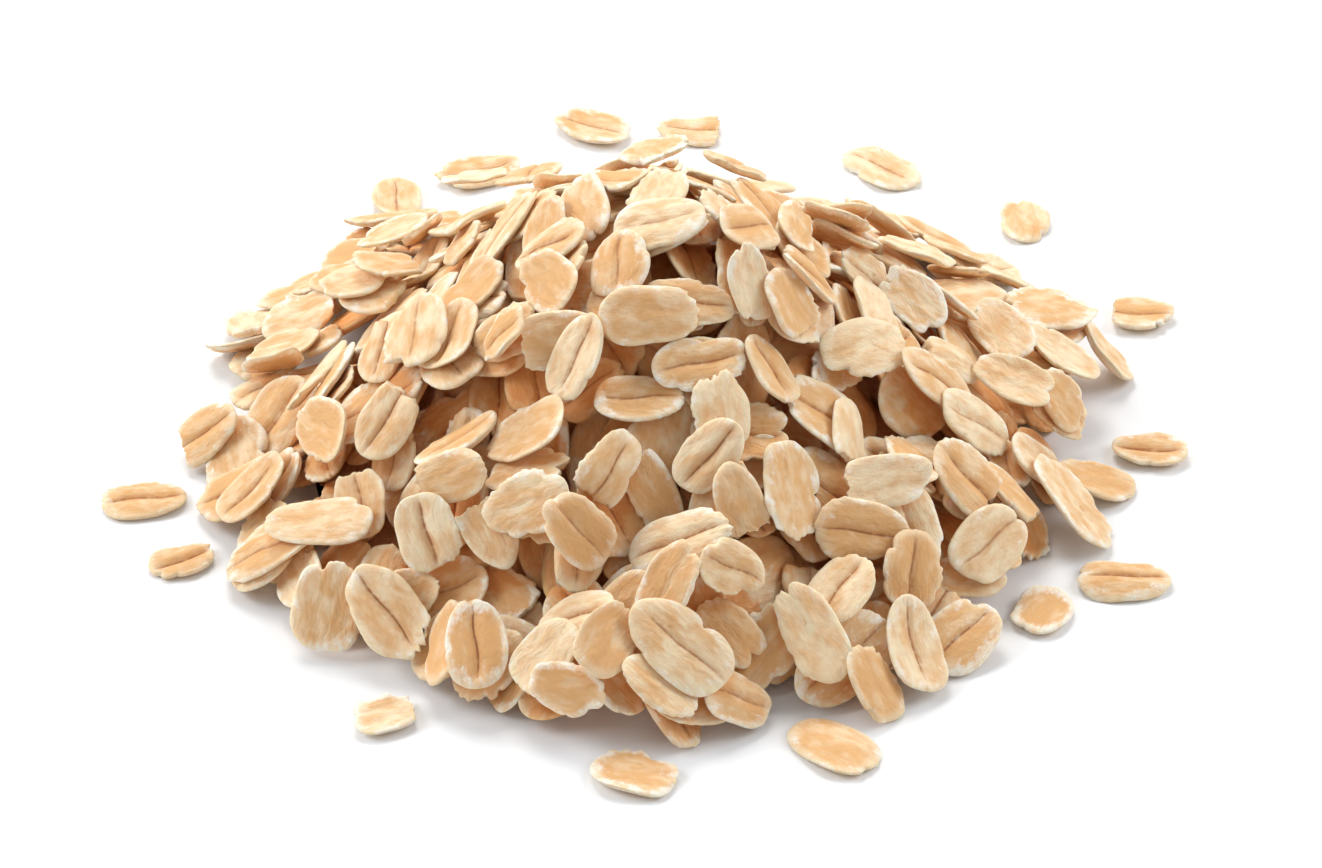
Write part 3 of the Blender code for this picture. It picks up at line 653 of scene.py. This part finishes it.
def bent_sheet(flakes, x, y, share, angle, torn):
    """The height of the middle sheet: its bend, a dish, and at the rim a frill, a curl and crinkles."""
    frill = np.sin(flakes["frill_waves"] * angle + flakes["frill_phase"]) * flakes["frill"] * share**5
    curl = np.clip(np.cos(angle - flakes["curl_phase"]), 0, 1) ** 2 * share**6 * flakes["curl"]
    sheet = warp(flakes, x, y) + DISH_DEPTH * flakes["dish"] * (share**2 - 0.4)
    sheet += FRILL_HEIGHT * frill + CURL_HEIGHT * curl
    return sheet + CRINKLE_HEIGHT * np.clip(torn, -MOST_TORN, MOST_TORN) * share**4


def flake_surfaces(flakes, along_lines, across_lines):
    """The top and underside of many flakes, as points on a grid for each, with what the material reads.

    The height is the middle sheet's, plus or minus half the thickness, which rounds off at the rim. A
    crease is a cusp, depth times e to the minus distance over width, between two lobes. Ridges along the
    flake are sine waves across it.
    """
    flakes = stacked(flakes)
    share, angle = disc_grid(along_lines, across_lines)
    torn = rim_change(flakes, angle)
    along, across = flake_plan(flakes, share, angle, torn)
    x = along * flakes["length"] / 2
    from_crease = across * flakes["width"] / 2
    bend = flakes["groove_bend"] * x**2 + flakes["groove_off"] * MM
    bend += flakes["groove_wave"] * np.sin(4 * along + 3 * flakes["shift"])
    y = from_crease + bend * (1 - share**2)

    rounding = np.clip((share - (1 - RIM_ROUNDING)) / RIM_ROUNDING, 0, 1)
    thick = RIM_SWELL * half_thickness(flakes, share) * np.sqrt(1 - rounding**2.6)
    inside = 1 - share**4
    lobes = np.exp(-(((np.abs(across) - LOBE_PLACE) / LOBE_WIDTH) ** 2)) * (1 - share**2) * flakes["lobe"]
    fade = np.clip((flakes["groove_end"] - flakes["groove_side"] * along) / 0.25, 0, 1)
    groove = flakes["groove"] * np.exp(-np.abs(from_crease) / CREASE_WIDTH) * fade * inside
    wander = 0.8 * np.sin(along * 2 + flakes["shift"])
    ridges = np.sin(y * 2 * math.pi / flakes["ridge_pitch"] + flakes["ridge_phase"] + wander)
    ridges = ridges * flakes["ridges"] * inside
    sheet = bent_sheet(flakes, x, y, share, angle, torn)
    top = sheet + thick + LOBE_HEIGHT * lobes + RIDGE_HEIGHT * ridges - CREASE_DEPTH * groove
    under = sheet - thick + UNDER_RIDGE_HEIGHT * ridges
    points = np.stack([np.stack([x, y, z], axis=-1) for z in (top, under)], axis=1)
    place = np.stack([flakes["x"], flakes["y"], flakes["z"]], axis=-1)[:, None]
    points = np.einsum("nij,nsuvj->nsuvi", flakes["axes"][..., 0, 0], points) + place

    def on_both(top, under):
        return np.stack([top + 0 * x, under + 0 * x], axis=1)

    marks = {
        "along": on_both(x, x) / MM,
        "across": on_both(from_crease, from_crease) / MM,
        "rim": on_both(share, share),
        "crease": on_both(fade * flakes["groove"] * inside, 0),
        "shift": on_both(flakes["shift"], flakes["shift"] + UNDER_SHIFT),
        "tone": on_both(flakes["tone"], flakes["tone"]),
        "flour": on_both(flakes["flour"], flakes["flour"]),
        "buried_shade": painted_shade_from_depth(points),
    }
    return points, marks


def painted_shade_from_depth(points):
    """How much painted shade each point gets from how deep it lies under the top of the heap, from 0 in the
    open to 1 at several layers down.
    """
    bed, _, _ = lay_heap()
    depth = bed.at(points[..., 0], points[..., 1]) - points[..., 2]
    return np.clip((depth - PAINTED_SHADE_FROM) / (PAINTED_SHADE_TO - PAINTED_SHADE_FROM), 0, 1)


def flake_faces(rows, columns):
    """The four-sided faces of one flake's top and underside, which share the points of the rim.

    Gives the faces, and where each point comes from in the two stacked grids.
    """
    top = np.arange(rows * columns).reshape(rows, columns)
    under = top + rows * columns
    under[[0, -1]], under[:, [0, -1]] = top[[0, -1]], top[:, [0, -1]]
    faces = []
    for sheet, order in ((top, (0, 1, 2, 3)), (under, (3, 2, 1, 0))):
        corners = (sheet[:-1, :-1], sheet[1:, :-1], sheet[1:, 1:], sheet[:-1, 1:])
        faces.append(np.stack([corners[k].ravel() for k in order], axis=-1))
    used, faces = np.unique(np.concatenate(faces), return_inverse=True)
    return faces.reshape(-1, 4), used


def mesh_of(name, points, faces, marks):
    """A mesh from arrays of points and four-sided faces, with a map along and across and the marks."""
    mesh = bpy.data.meshes.new(name)
    mesh.vertices.add(len(points))
    mesh.loops.add(faces.size)
    mesh.polygons.add(len(faces))
    mesh.vertices.foreach_set("co", points.astype(np.float32).ravel())
    mesh.loops.foreach_set("vertex_index", faces.astype(np.int32).ravel())
    mesh.polygons.foreach_set("loop_start", np.arange(0, faces.size, 4, dtype=np.int32))
    mesh.update(calc_edges=True)
    mesh.polygons.foreach_set("use_smooth", np.ones(len(faces), bool))
    flat = np.column_stack([marks["along"], marks["across"]])[faces.ravel()]
    mesh.uv_layers.new(name="flake_map").uv.foreach_set("vector", flat.astype(np.float32).ravel())
    for mark in POINT_MARKS:
        attribute = mesh.attributes.new(mark, "FLOAT", "POINT")
        attribute.data.foreach_set("value", marks[mark].astype(np.float32))
    return mesh


def flakes_as_arrays(flakes, along_lines, across_lines, on_floor=False):
    """The points, faces and marks of many flakes in one mesh."""
    points, marks = flake_surfaces(flakes, along_lines, across_lines)
    rows, columns = points.shape[2:4]
    faces, used = flake_faces(rows, columns)
    points = points.reshape(len(flakes), -1, 3)[:, used]
    if on_floor:
        points[..., 2] -= points[..., 2].min(axis=1)[:, None]
    points[..., 2] = np.maximum(points[..., 2], FLOOR_GAP)
    number = np.arange(len(flakes))[:, None, None] * len(used)
    marks = {mark: values.reshape(len(flakes), -1)[:, used].ravel() for mark, values in marks.items()}
    return points.reshape(-1, 3), (faces[None] + number).reshape(-1, 4), marks


def joined(parts):
    """Several sets of points, faces and marks as one."""
    points = np.concatenate([part[0] for part in parts])
    starts = np.cumsum([0] + [len(part[0]) for part in parts[:-1]])
    faces = np.concatenate([part[1] + start for part, start in zip(parts, starts)])
    marks = {mark: np.concatenate([part[2][mark] for part in parts]) for mark in parts[0][2]}
    return points, faces, marks


def core_arrays():
    """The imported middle: rings round the peak, a little lower than the bed that the flakes are laid on.

    The outermost ring lies on the floor, and a fan of faces closes the underside.
    """
    radius = np.linspace(0, 1, CORE_RINGS + 1)[1:, None] * CORE_REACH
    angle = 2 * math.pi * np.arange(CORE_SPOKES) / CORE_SPOKES
    x, y = radius * np.cos(angle), radius * np.sin(angle)
    z = np.maximum(packed_middle(x, y) - CORE_DROP, FLOOR_GAP)
    z[-1] = FLOOR_GAP
    peak = (0, 0, packed_middle(0.0, 0.0) - CORE_DROP)
    points = np.concatenate([np.stack([x, y, z], axis=-1).reshape(-1, 3), [peak, (0, 0, FLOOR_GAP)]])
    ring = np.arange(x.size).reshape(x.shape)
    after = np.roll(ring, -1, axis=1)
    quads = np.stack([ring[:-1], ring[1:], after[1:], after[:-1]], axis=-1).reshape(-1, 4)
    top_fan = np.stack([np.full(CORE_SPOKES, x.size), ring[0], after[0]], axis=-1)
    bottom_fan = np.stack([np.full(CORE_SPOKES, x.size + 1), after[-1], ring[-1]], axis=-1)
    return points, quads.tolist() + top_fan.tolist() + bottom_fan.tolist()


def mesh_with_caps(name, points, faces):
    """A mesh of four-sided and three-sided faces."""
    mesh = bpy.data.meshes.new(name)
    mesh.from_pydata(points.tolist(), [], faces)
    mesh.polygons.foreach_set("use_smooth", np.ones(len(mesh.polygons), bool))
    mesh.update()
    return mesh


def add_piece(name, mesh, material, slot, *nodes):
    """Puts a finished mesh in the scene as a piece that rides on the heap and stands for those nodes."""
    piece = bpy.data.objects.new(name, mesh)
    bpy.context.scene.collection.objects.link(piece)
    mesh.materials.append(material)
    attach(piece, "root")
    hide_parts(*nodes)


def new_group(name, inputs, outputs):
    """A shader node group with those sockets, each a name and a kind, and its two end nodes."""
    group = bpy.data.node_groups.new(name, "ShaderNodeTree")
    for way, sockets in (("INPUT", inputs), ("OUTPUT", outputs)):
        for label, kind in sockets.items():
            group.interface.new_socket(name=label, in_out=way, socket_type="NodeSocket" + kind)
    return group, group.nodes.new("NodeGroupInput"), group.nodes.new("NodeGroupOutput")


def add_node(tree, kind, links, **settings):
    """A node with its settings, and its inputs, each a number, a colour or another node's output."""
    node = tree.nodes.new("ShaderNode" + kind)
    for setting, value in settings.items():
        setattr(node, setting, value)
    for socket, value in links.items():
        if isinstance(value, bpy.types.NodeSocket):
            tree.links.new(value, node.inputs[socket])
        else:
            node.inputs[socket].default_value = value
    return node


def do_maths(tree, operation, first, second=0.0, clamp=False):
    return add_node(tree, "Math", {0: first, 1: second}, operation=operation, use_clamp=clamp).outputs[0]


def ramped(tree, value, low, high, to_low=0.0, to_high=1.0):
    """The value taken smoothly from one range to another."""
    links = {"Value": value, "From Min": low, "From Max": high, "To Min": to_low, "To Max": to_high}
    return add_node(tree, "MapRange", links, interpolation_type="SMOOTHSTEP").outputs["Result"]


def blended(tree, share, first, second, way="MIX"):
    """One colour over another by a share."""
    links = {0: share, 6: first, 7: second}
    return add_node(tree, "Mix", links, data_type="RGBA", blend_type=way).outputs[2]


def noise(tree, vector, stretch, detail, roughness=0.5):
    """Noise over a stretched vector."""
    mapping = add_node(tree, "Mapping", {"Vector": vector, "Scale": stretch})
    links = {"Vector": mapping.outputs[0], "Scale": 1.0, "Detail": detail, "Roughness": roughness}
    return add_node(tree, "TexNoise", links).outputs["Fac"]


@functools.cache
def grain_group():
    """Streaks along the flake, a soft mottle, a low relief and a fine grain, from a place on the flake."""
    outputs = {"Streaks": "Float", "Mottle": "Float", "Relief": "Float", "Grain": "Float"}
    group, start, end = new_group("oat_grain", {"Place": "Vector"}, outputs)
    place = start.outputs["Place"]
    wander = add_node(group, "TexNoise", {"Vector": place, "Scale": 0.4}).outputs["Color"]
    flow = add_node(group, "VectorMath", {0: place, 1: wander}, operation="ADD").outputs[0]
    group.links.new(noise(group, flow, (0.5, 2.2, 1), 3), end.inputs["Streaks"])
    group.links.new(noise(group, flow, (0.4, 0.7, 1), 2), end.inputs["Mottle"])
    group.links.new(noise(group, flow, (0.9, 1.7, 1), 2), end.inputs["Relief"])
    group.links.new(noise(group, place, (5.0, 8.0, 1), 2), end.inputs["Grain"])
    return group


@functools.cache
def flour_group():
    """Where white flour shows: at the rim and in patches, more on flakes that have more of it."""
    inputs = {"Place": "Vector", "Rim": "Float", "Amount": "Float"}
    group, start, end = new_group("oat_flour", inputs, {"Mask": "Float"})
    patches = noise(group, start.outputs["Place"], (0.55, 0.8, 1.3), 4, 0.65)
    near_rim = ramped(group, start.outputs["Rim"], 0.45, 1.0, 0.0, 0.25)
    wanted = do_maths(group, "MULTIPLY", start.outputs["Amount"], 0.16)
    total = do_maths(group, "ADD", do_maths(group, "ADD", patches, near_rim), wanted)
    group.links.new(ramped(group, total, 0.74, 0.98, 0.0, 0.9), end.inputs["Mask"])
    return group


def new_material(name):
    material = bpy.data.materials.new(name)
    material.use_nodes = True
    return material, material.node_tree, material.node_tree.nodes["Principled BSDF"]


def read_mark(tree, mark):
    return add_node(tree, "Attribute", {}, attribute_name=mark, attribute_type="GEOMETRY").outputs["Fac"]


@functools.cache
def oat_material(kind):
    """An oat flake: pale, with golden mottle, brown spots, a red-brown crease, a pale rim that is partly a
    painted highlight, flour, and painted shade where it lies deep.
    """
    look = bpy.context.scene.oat_look
    material, tree, shader = new_material(kind + "_oat")
    flake_map = add_node(tree, "UVMap", {}, uv_map="flake_map").outputs[0]
    along, across, _ = add_node(tree, "SeparateXYZ", {0: flake_map}).outputs
    place = add_node(tree, "CombineXYZ", {0: along, 1: across, 2: read_mark(tree, "shift")}).outputs[0]
    rim, crease = read_mark(tree, "rim"), read_mark(tree, "crease")
    grains = add_node(tree, "Group", {"Place": place}, node_tree=grain_group())
    streaks, mottle, relief, grain = grains.outputs

    tone = do_maths(tree, "MULTIPLY", read_mark(tree, "tone"), 0.9)
    golden = do_maths(tree, "ADD", ramped(tree, mottle, 0.25, 0.75, 0.1, 0.8), tone)
    golden = do_maths(tree, "ADD", golden, ramped(tree, streaks, 0.3, 0.75, -0.1, 0.1))
    golden = ramped(tree, golden, 0.05, 1.35)
    colour = blended(tree, golden, (*look.pale, 1), (*look.golden, 1))
    spots = ramped(tree, noise(tree, place, (0.4, 0.7, 2.1), 3, 0.6), 0.62, 0.8, 0.0, 0.75)
    colour = blended(tree, spots, colour, (*look.toasted, 1))

    wobble = do_maths(tree, "MULTIPLY", do_maths(tree, "SUBTRACT", streaks, 0.5), 0.3)
    distance = do_maths(tree, "ABSOLUTE", do_maths(tree, "ADD", across, wobble))
    broken_line = ramped(tree, noise(tree, place, (1.1, 1.1, 3), 2), 0.3, 0.55, 0.35, 1.0)
    strength = do_maths(tree, "MULTIPLY", broken_line, crease, clamp=True)
    halo = do_maths(tree, "MULTIPLY", ramped(tree, distance, 0.8, 0.05, 0.0, 0.5), strength)
    line = do_maths(tree, "MULTIPLY", ramped(tree, distance, 0.2, 0.03, 0.0, 0.9), strength)
    colour = blended(tree, halo, colour, (*look.toasted, 1))
    colour = blended(tree, line, colour, (*look.crease, 1))
    # Paler rim: partly the flake's own floury edge, partly a painted highlight where light shines through
    # the thin rim.
    pale_rim_and_highlight = ramped(tree, rim, 0.7, 1.0, 0.0, 0.6)
    colour = blended(tree, pale_rim_and_highlight, colour, (*look.pale, 1))
    floury = {"Place": place, "Rim": rim, "Amount": read_mark(tree, "flour")}
    flour = add_node(tree, "Group", floury, node_tree=flour_group())
    colour = blended(tree, flour.outputs["Mask"], colour, (*look.flour, 1))
    # Painted shade: the colour is multiplied by a dark tint where the flake lies deep under other flakes.
    colour = blended(tree, read_mark(tree, "buried_shade"), colour, (*look.painted_shade, 1), "MULTIPLY")
    tree.links.new(colour, shader.inputs["Base Color"])

    rough = ramped(tree, grain, 0.2, 0.8, 0.55, 0.75)
    tree.links.new(rough, shader.inputs["Roughness"])
    height = do_maths(tree, "ADD", do_maths(tree, "MULTIPLY", streaks, 0.4), relief)
    height = do_maths(tree, "ADD", height, do_maths(tree, "MULTIPLY", grain, 0.2))
    bump = add_node(tree, "Bump", {"Height": height, "Strength": 0.7, "Distance": 0.28 * MM})
    tree.links.new(bump.outputs[0], shader.inputs["Normal"])
    shader.inputs["Specular IOR Level"].default_value = 0.35
    shader.inputs["Subsurface Weight"].default_value = 0.35
    shader.inputs["Subsurface Radius"].default_value = (1.0, 0.6, 0.3)
    shader.inputs["Subsurface Scale"].default_value = 0.8 * MM
    return material


def painted_shade_core_material():
    """The inside of the heap: a dark red-brown that is painted shade for the gaps between the flakes,
    broken up by flake-sized patches.
    """
    look = bpy.context.scene.oat_look
    material, tree, shader = new_material("packed_oats_painted_shade")
    place = add_node(tree, "TexCoord", {}).outputs["Object"]
    cells = add_node(tree, "TexVoronoi", {"Vector": place, "Scale": 180.0})
    patches = ramped(tree, cells.outputs["Distance"], 0.1, 0.7)
    # Painted shade: the middle is coloured dark red-brown to stand for the shade deep between the flakes.
    colour = blended(tree, patches, (*look.inside_shade_pale, 1), (*look.inside, 1))
    tree.links.new(colour, shader.inputs["Base Color"])
    fine = add_node(tree, "TexNoise", {"Vector": place, "Scale": 1500.0, "Detail": 3.0})
    height = do_maths(tree, "ADD", fine.outputs["Fac"], do_maths(tree, "MULTIPLY", patches, -2.0))
    bump = add_node(tree, "Bump", {"Height": height, "Strength": 0.8, "Distance": 0.5 * MM})
    tree.links.new(bump.outputs[0], shader.inputs["Normal"])
    tree.links.new(ramped(tree, fine.outputs["Fac"], 0.3, 0.7, 0.8, 0.95), shader.inputs["Roughness"])
    return material


def colour_slider(name, description, default):
    return FloatVectorProperty(name=name, description=description, subtype="COLOR", default=default)


def number_slider(name, description, default, unit="NONE"):
    return FloatProperty(name=name, description=description, default=default, min=0.01, unit=unit)


class OatLook(bpy.types.PropertyGroup):
    pale: colour_slider("Pale", "Colour of the palest flakes", (0.92, 0.76, 0.52))
    golden: colour_slider("Golden", "Colour of the golden flakes", (0.76, 0.43, 0.18))
    toasted: colour_slider("Toasted", "Colour of spots and beside the crease", (0.60, 0.29, 0.10))
    crease: colour_slider("Crease", "Colour in the crease", (0.46, 0.17, 0.06))
    flour: colour_slider("Flour", "Colour of floury patches", (0.95, 0.87, 0.75))
    # Painted shade: the tint that darkens flakes lying deep in the heap.
    painted_shade: colour_slider("Shade", "Tint of the flakes that lie deep", (0.97, 0.70, 0.46))
    # Painted shade: the dark red-brown colours of the packed middle that shows in the gaps.
    inside: colour_slider("Inside", "Colour deep in the heap", (0.72, 0.30, 0.12))
    inside_shade_pale: colour_slider("Inside, pale", "Paler patches deep in the heap", (0.85, 0.46, 0.20))


class OatStudio(bpy.types.PropertyGroup):
    floor: colour_slider("Floor", "Colour of the floor", (0.92, 0.92, 0.92))
    sky_strength: number_slider("Room light", "Strength of the even white light", 0.44)
    key_power: number_slider("Main light", "Power of the light behind the heap", 4.4, "POWER")
    side_power: number_slider("Side lights", "Power of the light on the left", 4.3, "POWER")
    key_size: number_slider("Main light size", "Side of the main light", 0.4, "LENGTH")


def heap_flakes(kind):
    """The heap's flakes of one kind, split into those that show and those that hardly do."""
    bed, flakes, _ = lay_heap()
    seen = np.bincount(bed.owner[bed.owner >= 0], minlength=len(flakes)) * BED_CELL**2
    of_kind = [(flake, area) for flake, area in zip(flakes, seen) if flake["kind"] == kind]
    fine = [flake for flake, area in of_kind if area > FINE_AREA]
    coarse = [flake for flake, area in of_kind if area <= FINE_AREA]
    return fine, coarse


def add_flakes(name, kind, fine, coarse):
    """Makes one piece of flakes of a kind, on a fine grid and on a coarse one."""
    parts = [flakes_as_arrays(fine, ALONG_LINES, ACROSS_LINES)]
    if coarse:
        parts.append(flakes_as_arrays(coarse, COARSE_ALONG, COARSE_ACROSS))
    mesh = mesh_of(name, *joined(parts))
    add_piece(name, mesh, oat_material(kind), "oat_heap", "oat_heap")


def add_in_two(kind):
    """Makes one kind of flake as a deeper and an upper piece, to keep the pieces small."""
    fine, coarse = heap_flakes(kind)
    middle = len(fine) // 2
    add_flakes(kind + "_flakes_deep", kind, fine[:middle], coarse)
    add_flakes(kind + "_flakes_upper", kind, fine[middle:], [])


class OATS_OT_middle(bpy.types.Operator):
    """Make the packed middle that shows in the gaps, dark with painted shade"""

    bl_idname = "oats.middle"
    bl_label = "Packed middle"

    def execute(self, context):
        mesh = mesh_with_caps("packed_middle", *core_arrays())
        add_piece("packed_middle", mesh, painted_shade_core_material(), "oat_heap", "oat_heap")
        return {"FINISHED"}


class OATS_OT_creased(bpy.types.Operator):
    """Make the heap's flakes that lie with their crease up"""

    bl_idname = "oats.creased"
    bl_label = "Creased flakes"

    def execute(self, context):
        add_in_two("creased")
        return {"FINISHED"}


class OATS_OT_smooth(bpy.types.Operator):
    """Make the heap's flakes that lie with their smooth side up"""

    bl_idname = "oats.smooth"
    bl_label = "Smooth flakes"

    def execute(self, context):
        add_in_two("smooth")
        return {"FINISHED"}


class OATS_OT_ragged(bpy.types.Operator):
    """Make the heap's flakes that are torn or broken"""

    bl_idname = "oats.ragged"
    bl_label = "Ragged flakes"

    def execute(self, context):
        add_flakes("ragged_flakes", "ragged", *heap_flakes("ragged"))
        return {"FINISHED"}


class OATS_OT_loose(bpy.types.Operator):
    """Make each flake that lies apart on the surface"""

    bl_idname = "oats.loose"
    bl_label = "Loose flakes"

    def execute(self, context):
        _, _, loose = lay_heap()
        for node, flake in loose.items():
            arrays = flakes_as_arrays([flake], ALONG_LINES, ACROSS_LINES, on_floor=True)
            name = node.replace("loose_flake", "single_oat")
            add_piece(name, mesh_of(name, *arrays), oat_material(flake["kind"]), node, node)
        return {"FINISHED"}


class OATS_OT_studio(bpy.types.Operator):
    """Make the floor, the lights and the camera"""

    bl_idname = "oats.studio"
    bl_label = "Floor, lights and camera"

    def execute(self, context):
        studio = context.scene.oat_studio
        add_floor(studio)
        add_lights(studio)
        add_camera()
        context.scene.view_settings.view_transform = "Standard"
        return {"FINISHED"}


def add_floor(studio):
    """A wide white floor, level with the CAD model's underside."""
    corners = [(FLOOR_HALF * x, FLOOR_HALF * y, 0) for x, y in ((-1, -1), (1, -1), (1, 1), (-1, 1))]
    mesh = bpy.data.meshes.new("floor")
    mesh.from_pydata(corners, [], [(0, 1, 2, 3)])
    floor = bpy.data.objects.new("floor", mesh)
    bpy.context.scene.collection.objects.link(floor)
    material, tree, shader = new_material("white_floor")
    place = add_node(tree, "TexCoord", {}).outputs["Object"]
    fine = add_node(tree, "TexNoise", {"Vector": place, "Scale": 900.0}).outputs["Fac"]
    tree.links.new(ramped(tree, fine, 0.2, 0.8, 0.85, 0.95), shader.inputs["Roughness"])
    shader.inputs["Base Color"].default_value = (*studio.floor, 1)
    shader.inputs["Specular IOR Level"].default_value = 0.0
    mesh.materials.append(material)


def add_lights(studio):
    """An even white room, with a warm soft light behind the heap and a cool one at each side."""
    world = bpy.data.worlds.new("white_room")
    world.use_nodes = True
    background = world.node_tree.nodes["Background"]
    background.inputs["Color"].default_value = (1, 1, 1, 1)
    background.inputs["Strength"].default_value = studio.sky_strength
    bpy.context.scene.world = world
    side_size = SIDE_SIZE * studio.key_size
    add_lamp("light_behind", studio.key_power, studio.key_size, BEHIND, WARM_LIGHT)
    add_lamp("light_left", studio.side_power, side_size, LEFT, COOL_LIGHT)
    add_lamp("light_right", RIGHT_POWER * studio.side_power, side_size, RIGHT, COOL_LIGHT)


def add_lamp(name, power, size, place, colour):
    """A square soft light that faces the heap."""
    light = bpy.data.lights.new(name, "AREA")
    light.energy = power
    light.size = size
    light.color = colour
    lamp = bpy.data.objects.new(name, light)
    x, y, z = place
    lamp.location = place
    lamp.rotation_euler = (math.atan2(math.hypot(x, y), z), 0, math.atan2(x, -y))
    bpy.context.scene.collection.objects.link(lamp)


def add_camera():
    """A camera that looks down by the tilt, at a point a little right of and above the heap's middle."""
    tilt = math.radians(CAMERA_TILT)
    forward = np.array([0, math.cos(tilt), -math.sin(tilt)])
    upward = np.array([0, math.sin(tilt), math.cos(tilt)])
    aim = np.array([AIM_RIGHT, 0, 0]) + upward * AIM_UP
    lens = bpy.data.cameras.new("camera")
    lens.sensor_width = SENSOR
    lens.lens = SENSOR * FOCAL_PIXELS / IMAGE_WIDTH
    lens.clip_start = 10 * MM
    camera = bpy.data.objects.new("camera", lens)
    camera.location = aim - forward * CAMERA_DISTANCE
    camera.rotation_euler = (math.pi / 2 - tilt, 0, 0)
    bpy.context.scene.collection.objects.link(camera)
    bpy.context.scene.camera = camera


STEPS = (OATS_OT_middle, OATS_OT_creased, OATS_OT_smooth, OATS_OT_ragged, OATS_OT_loose, OATS_OT_studio)


class OATS_PT_panel(bpy.types.Panel):
    bl_idname = "OATS_PT_panel"
    bl_label = "Rolled oats"
    bl_space_type = "VIEW_3D"
    bl_region_type = "UI"
    bl_category = "Rolled oats"

    def draw(self, context):
        for group in (context.scene.oat_look, context.scene.oat_studio):
            for prop in group.bl_rna.properties:
                if prop.identifier not in ("rna_type", "name"):
                    self.layout.prop(group, prop.identifier)
        for step in STEPS:
            self.layout.operator(step.bl_idname)


CLASSES = (OatLook, OatStudio, *STEPS, OATS_PT_panel)


def register():
    for made in CLASSES:
        bpy.utils.register_class(made)
    bpy.types.Scene.oat_look = PointerProperty(type=OatLook)
    bpy.types.Scene.oat_studio = PointerProperty(type=OatStudio)


def unregister():
    del bpy.types.Scene.oat_studio
    del bpy.types.Scene.oat_look
    for made in reversed(CLASSES):
        bpy.utils.unregister_class(made)


def main():
    """Registers the add-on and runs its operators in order."""
    register()
    bpy.ops.oats.middle()
    bpy.ops.oats.creased()
    bpy.ops.oats.smooth()
    bpy.ops.oats.ragged()
    bpy.ops.oats.loose()
    bpy.ops.oats.studio()


if __name__ == "__main__":
    main()
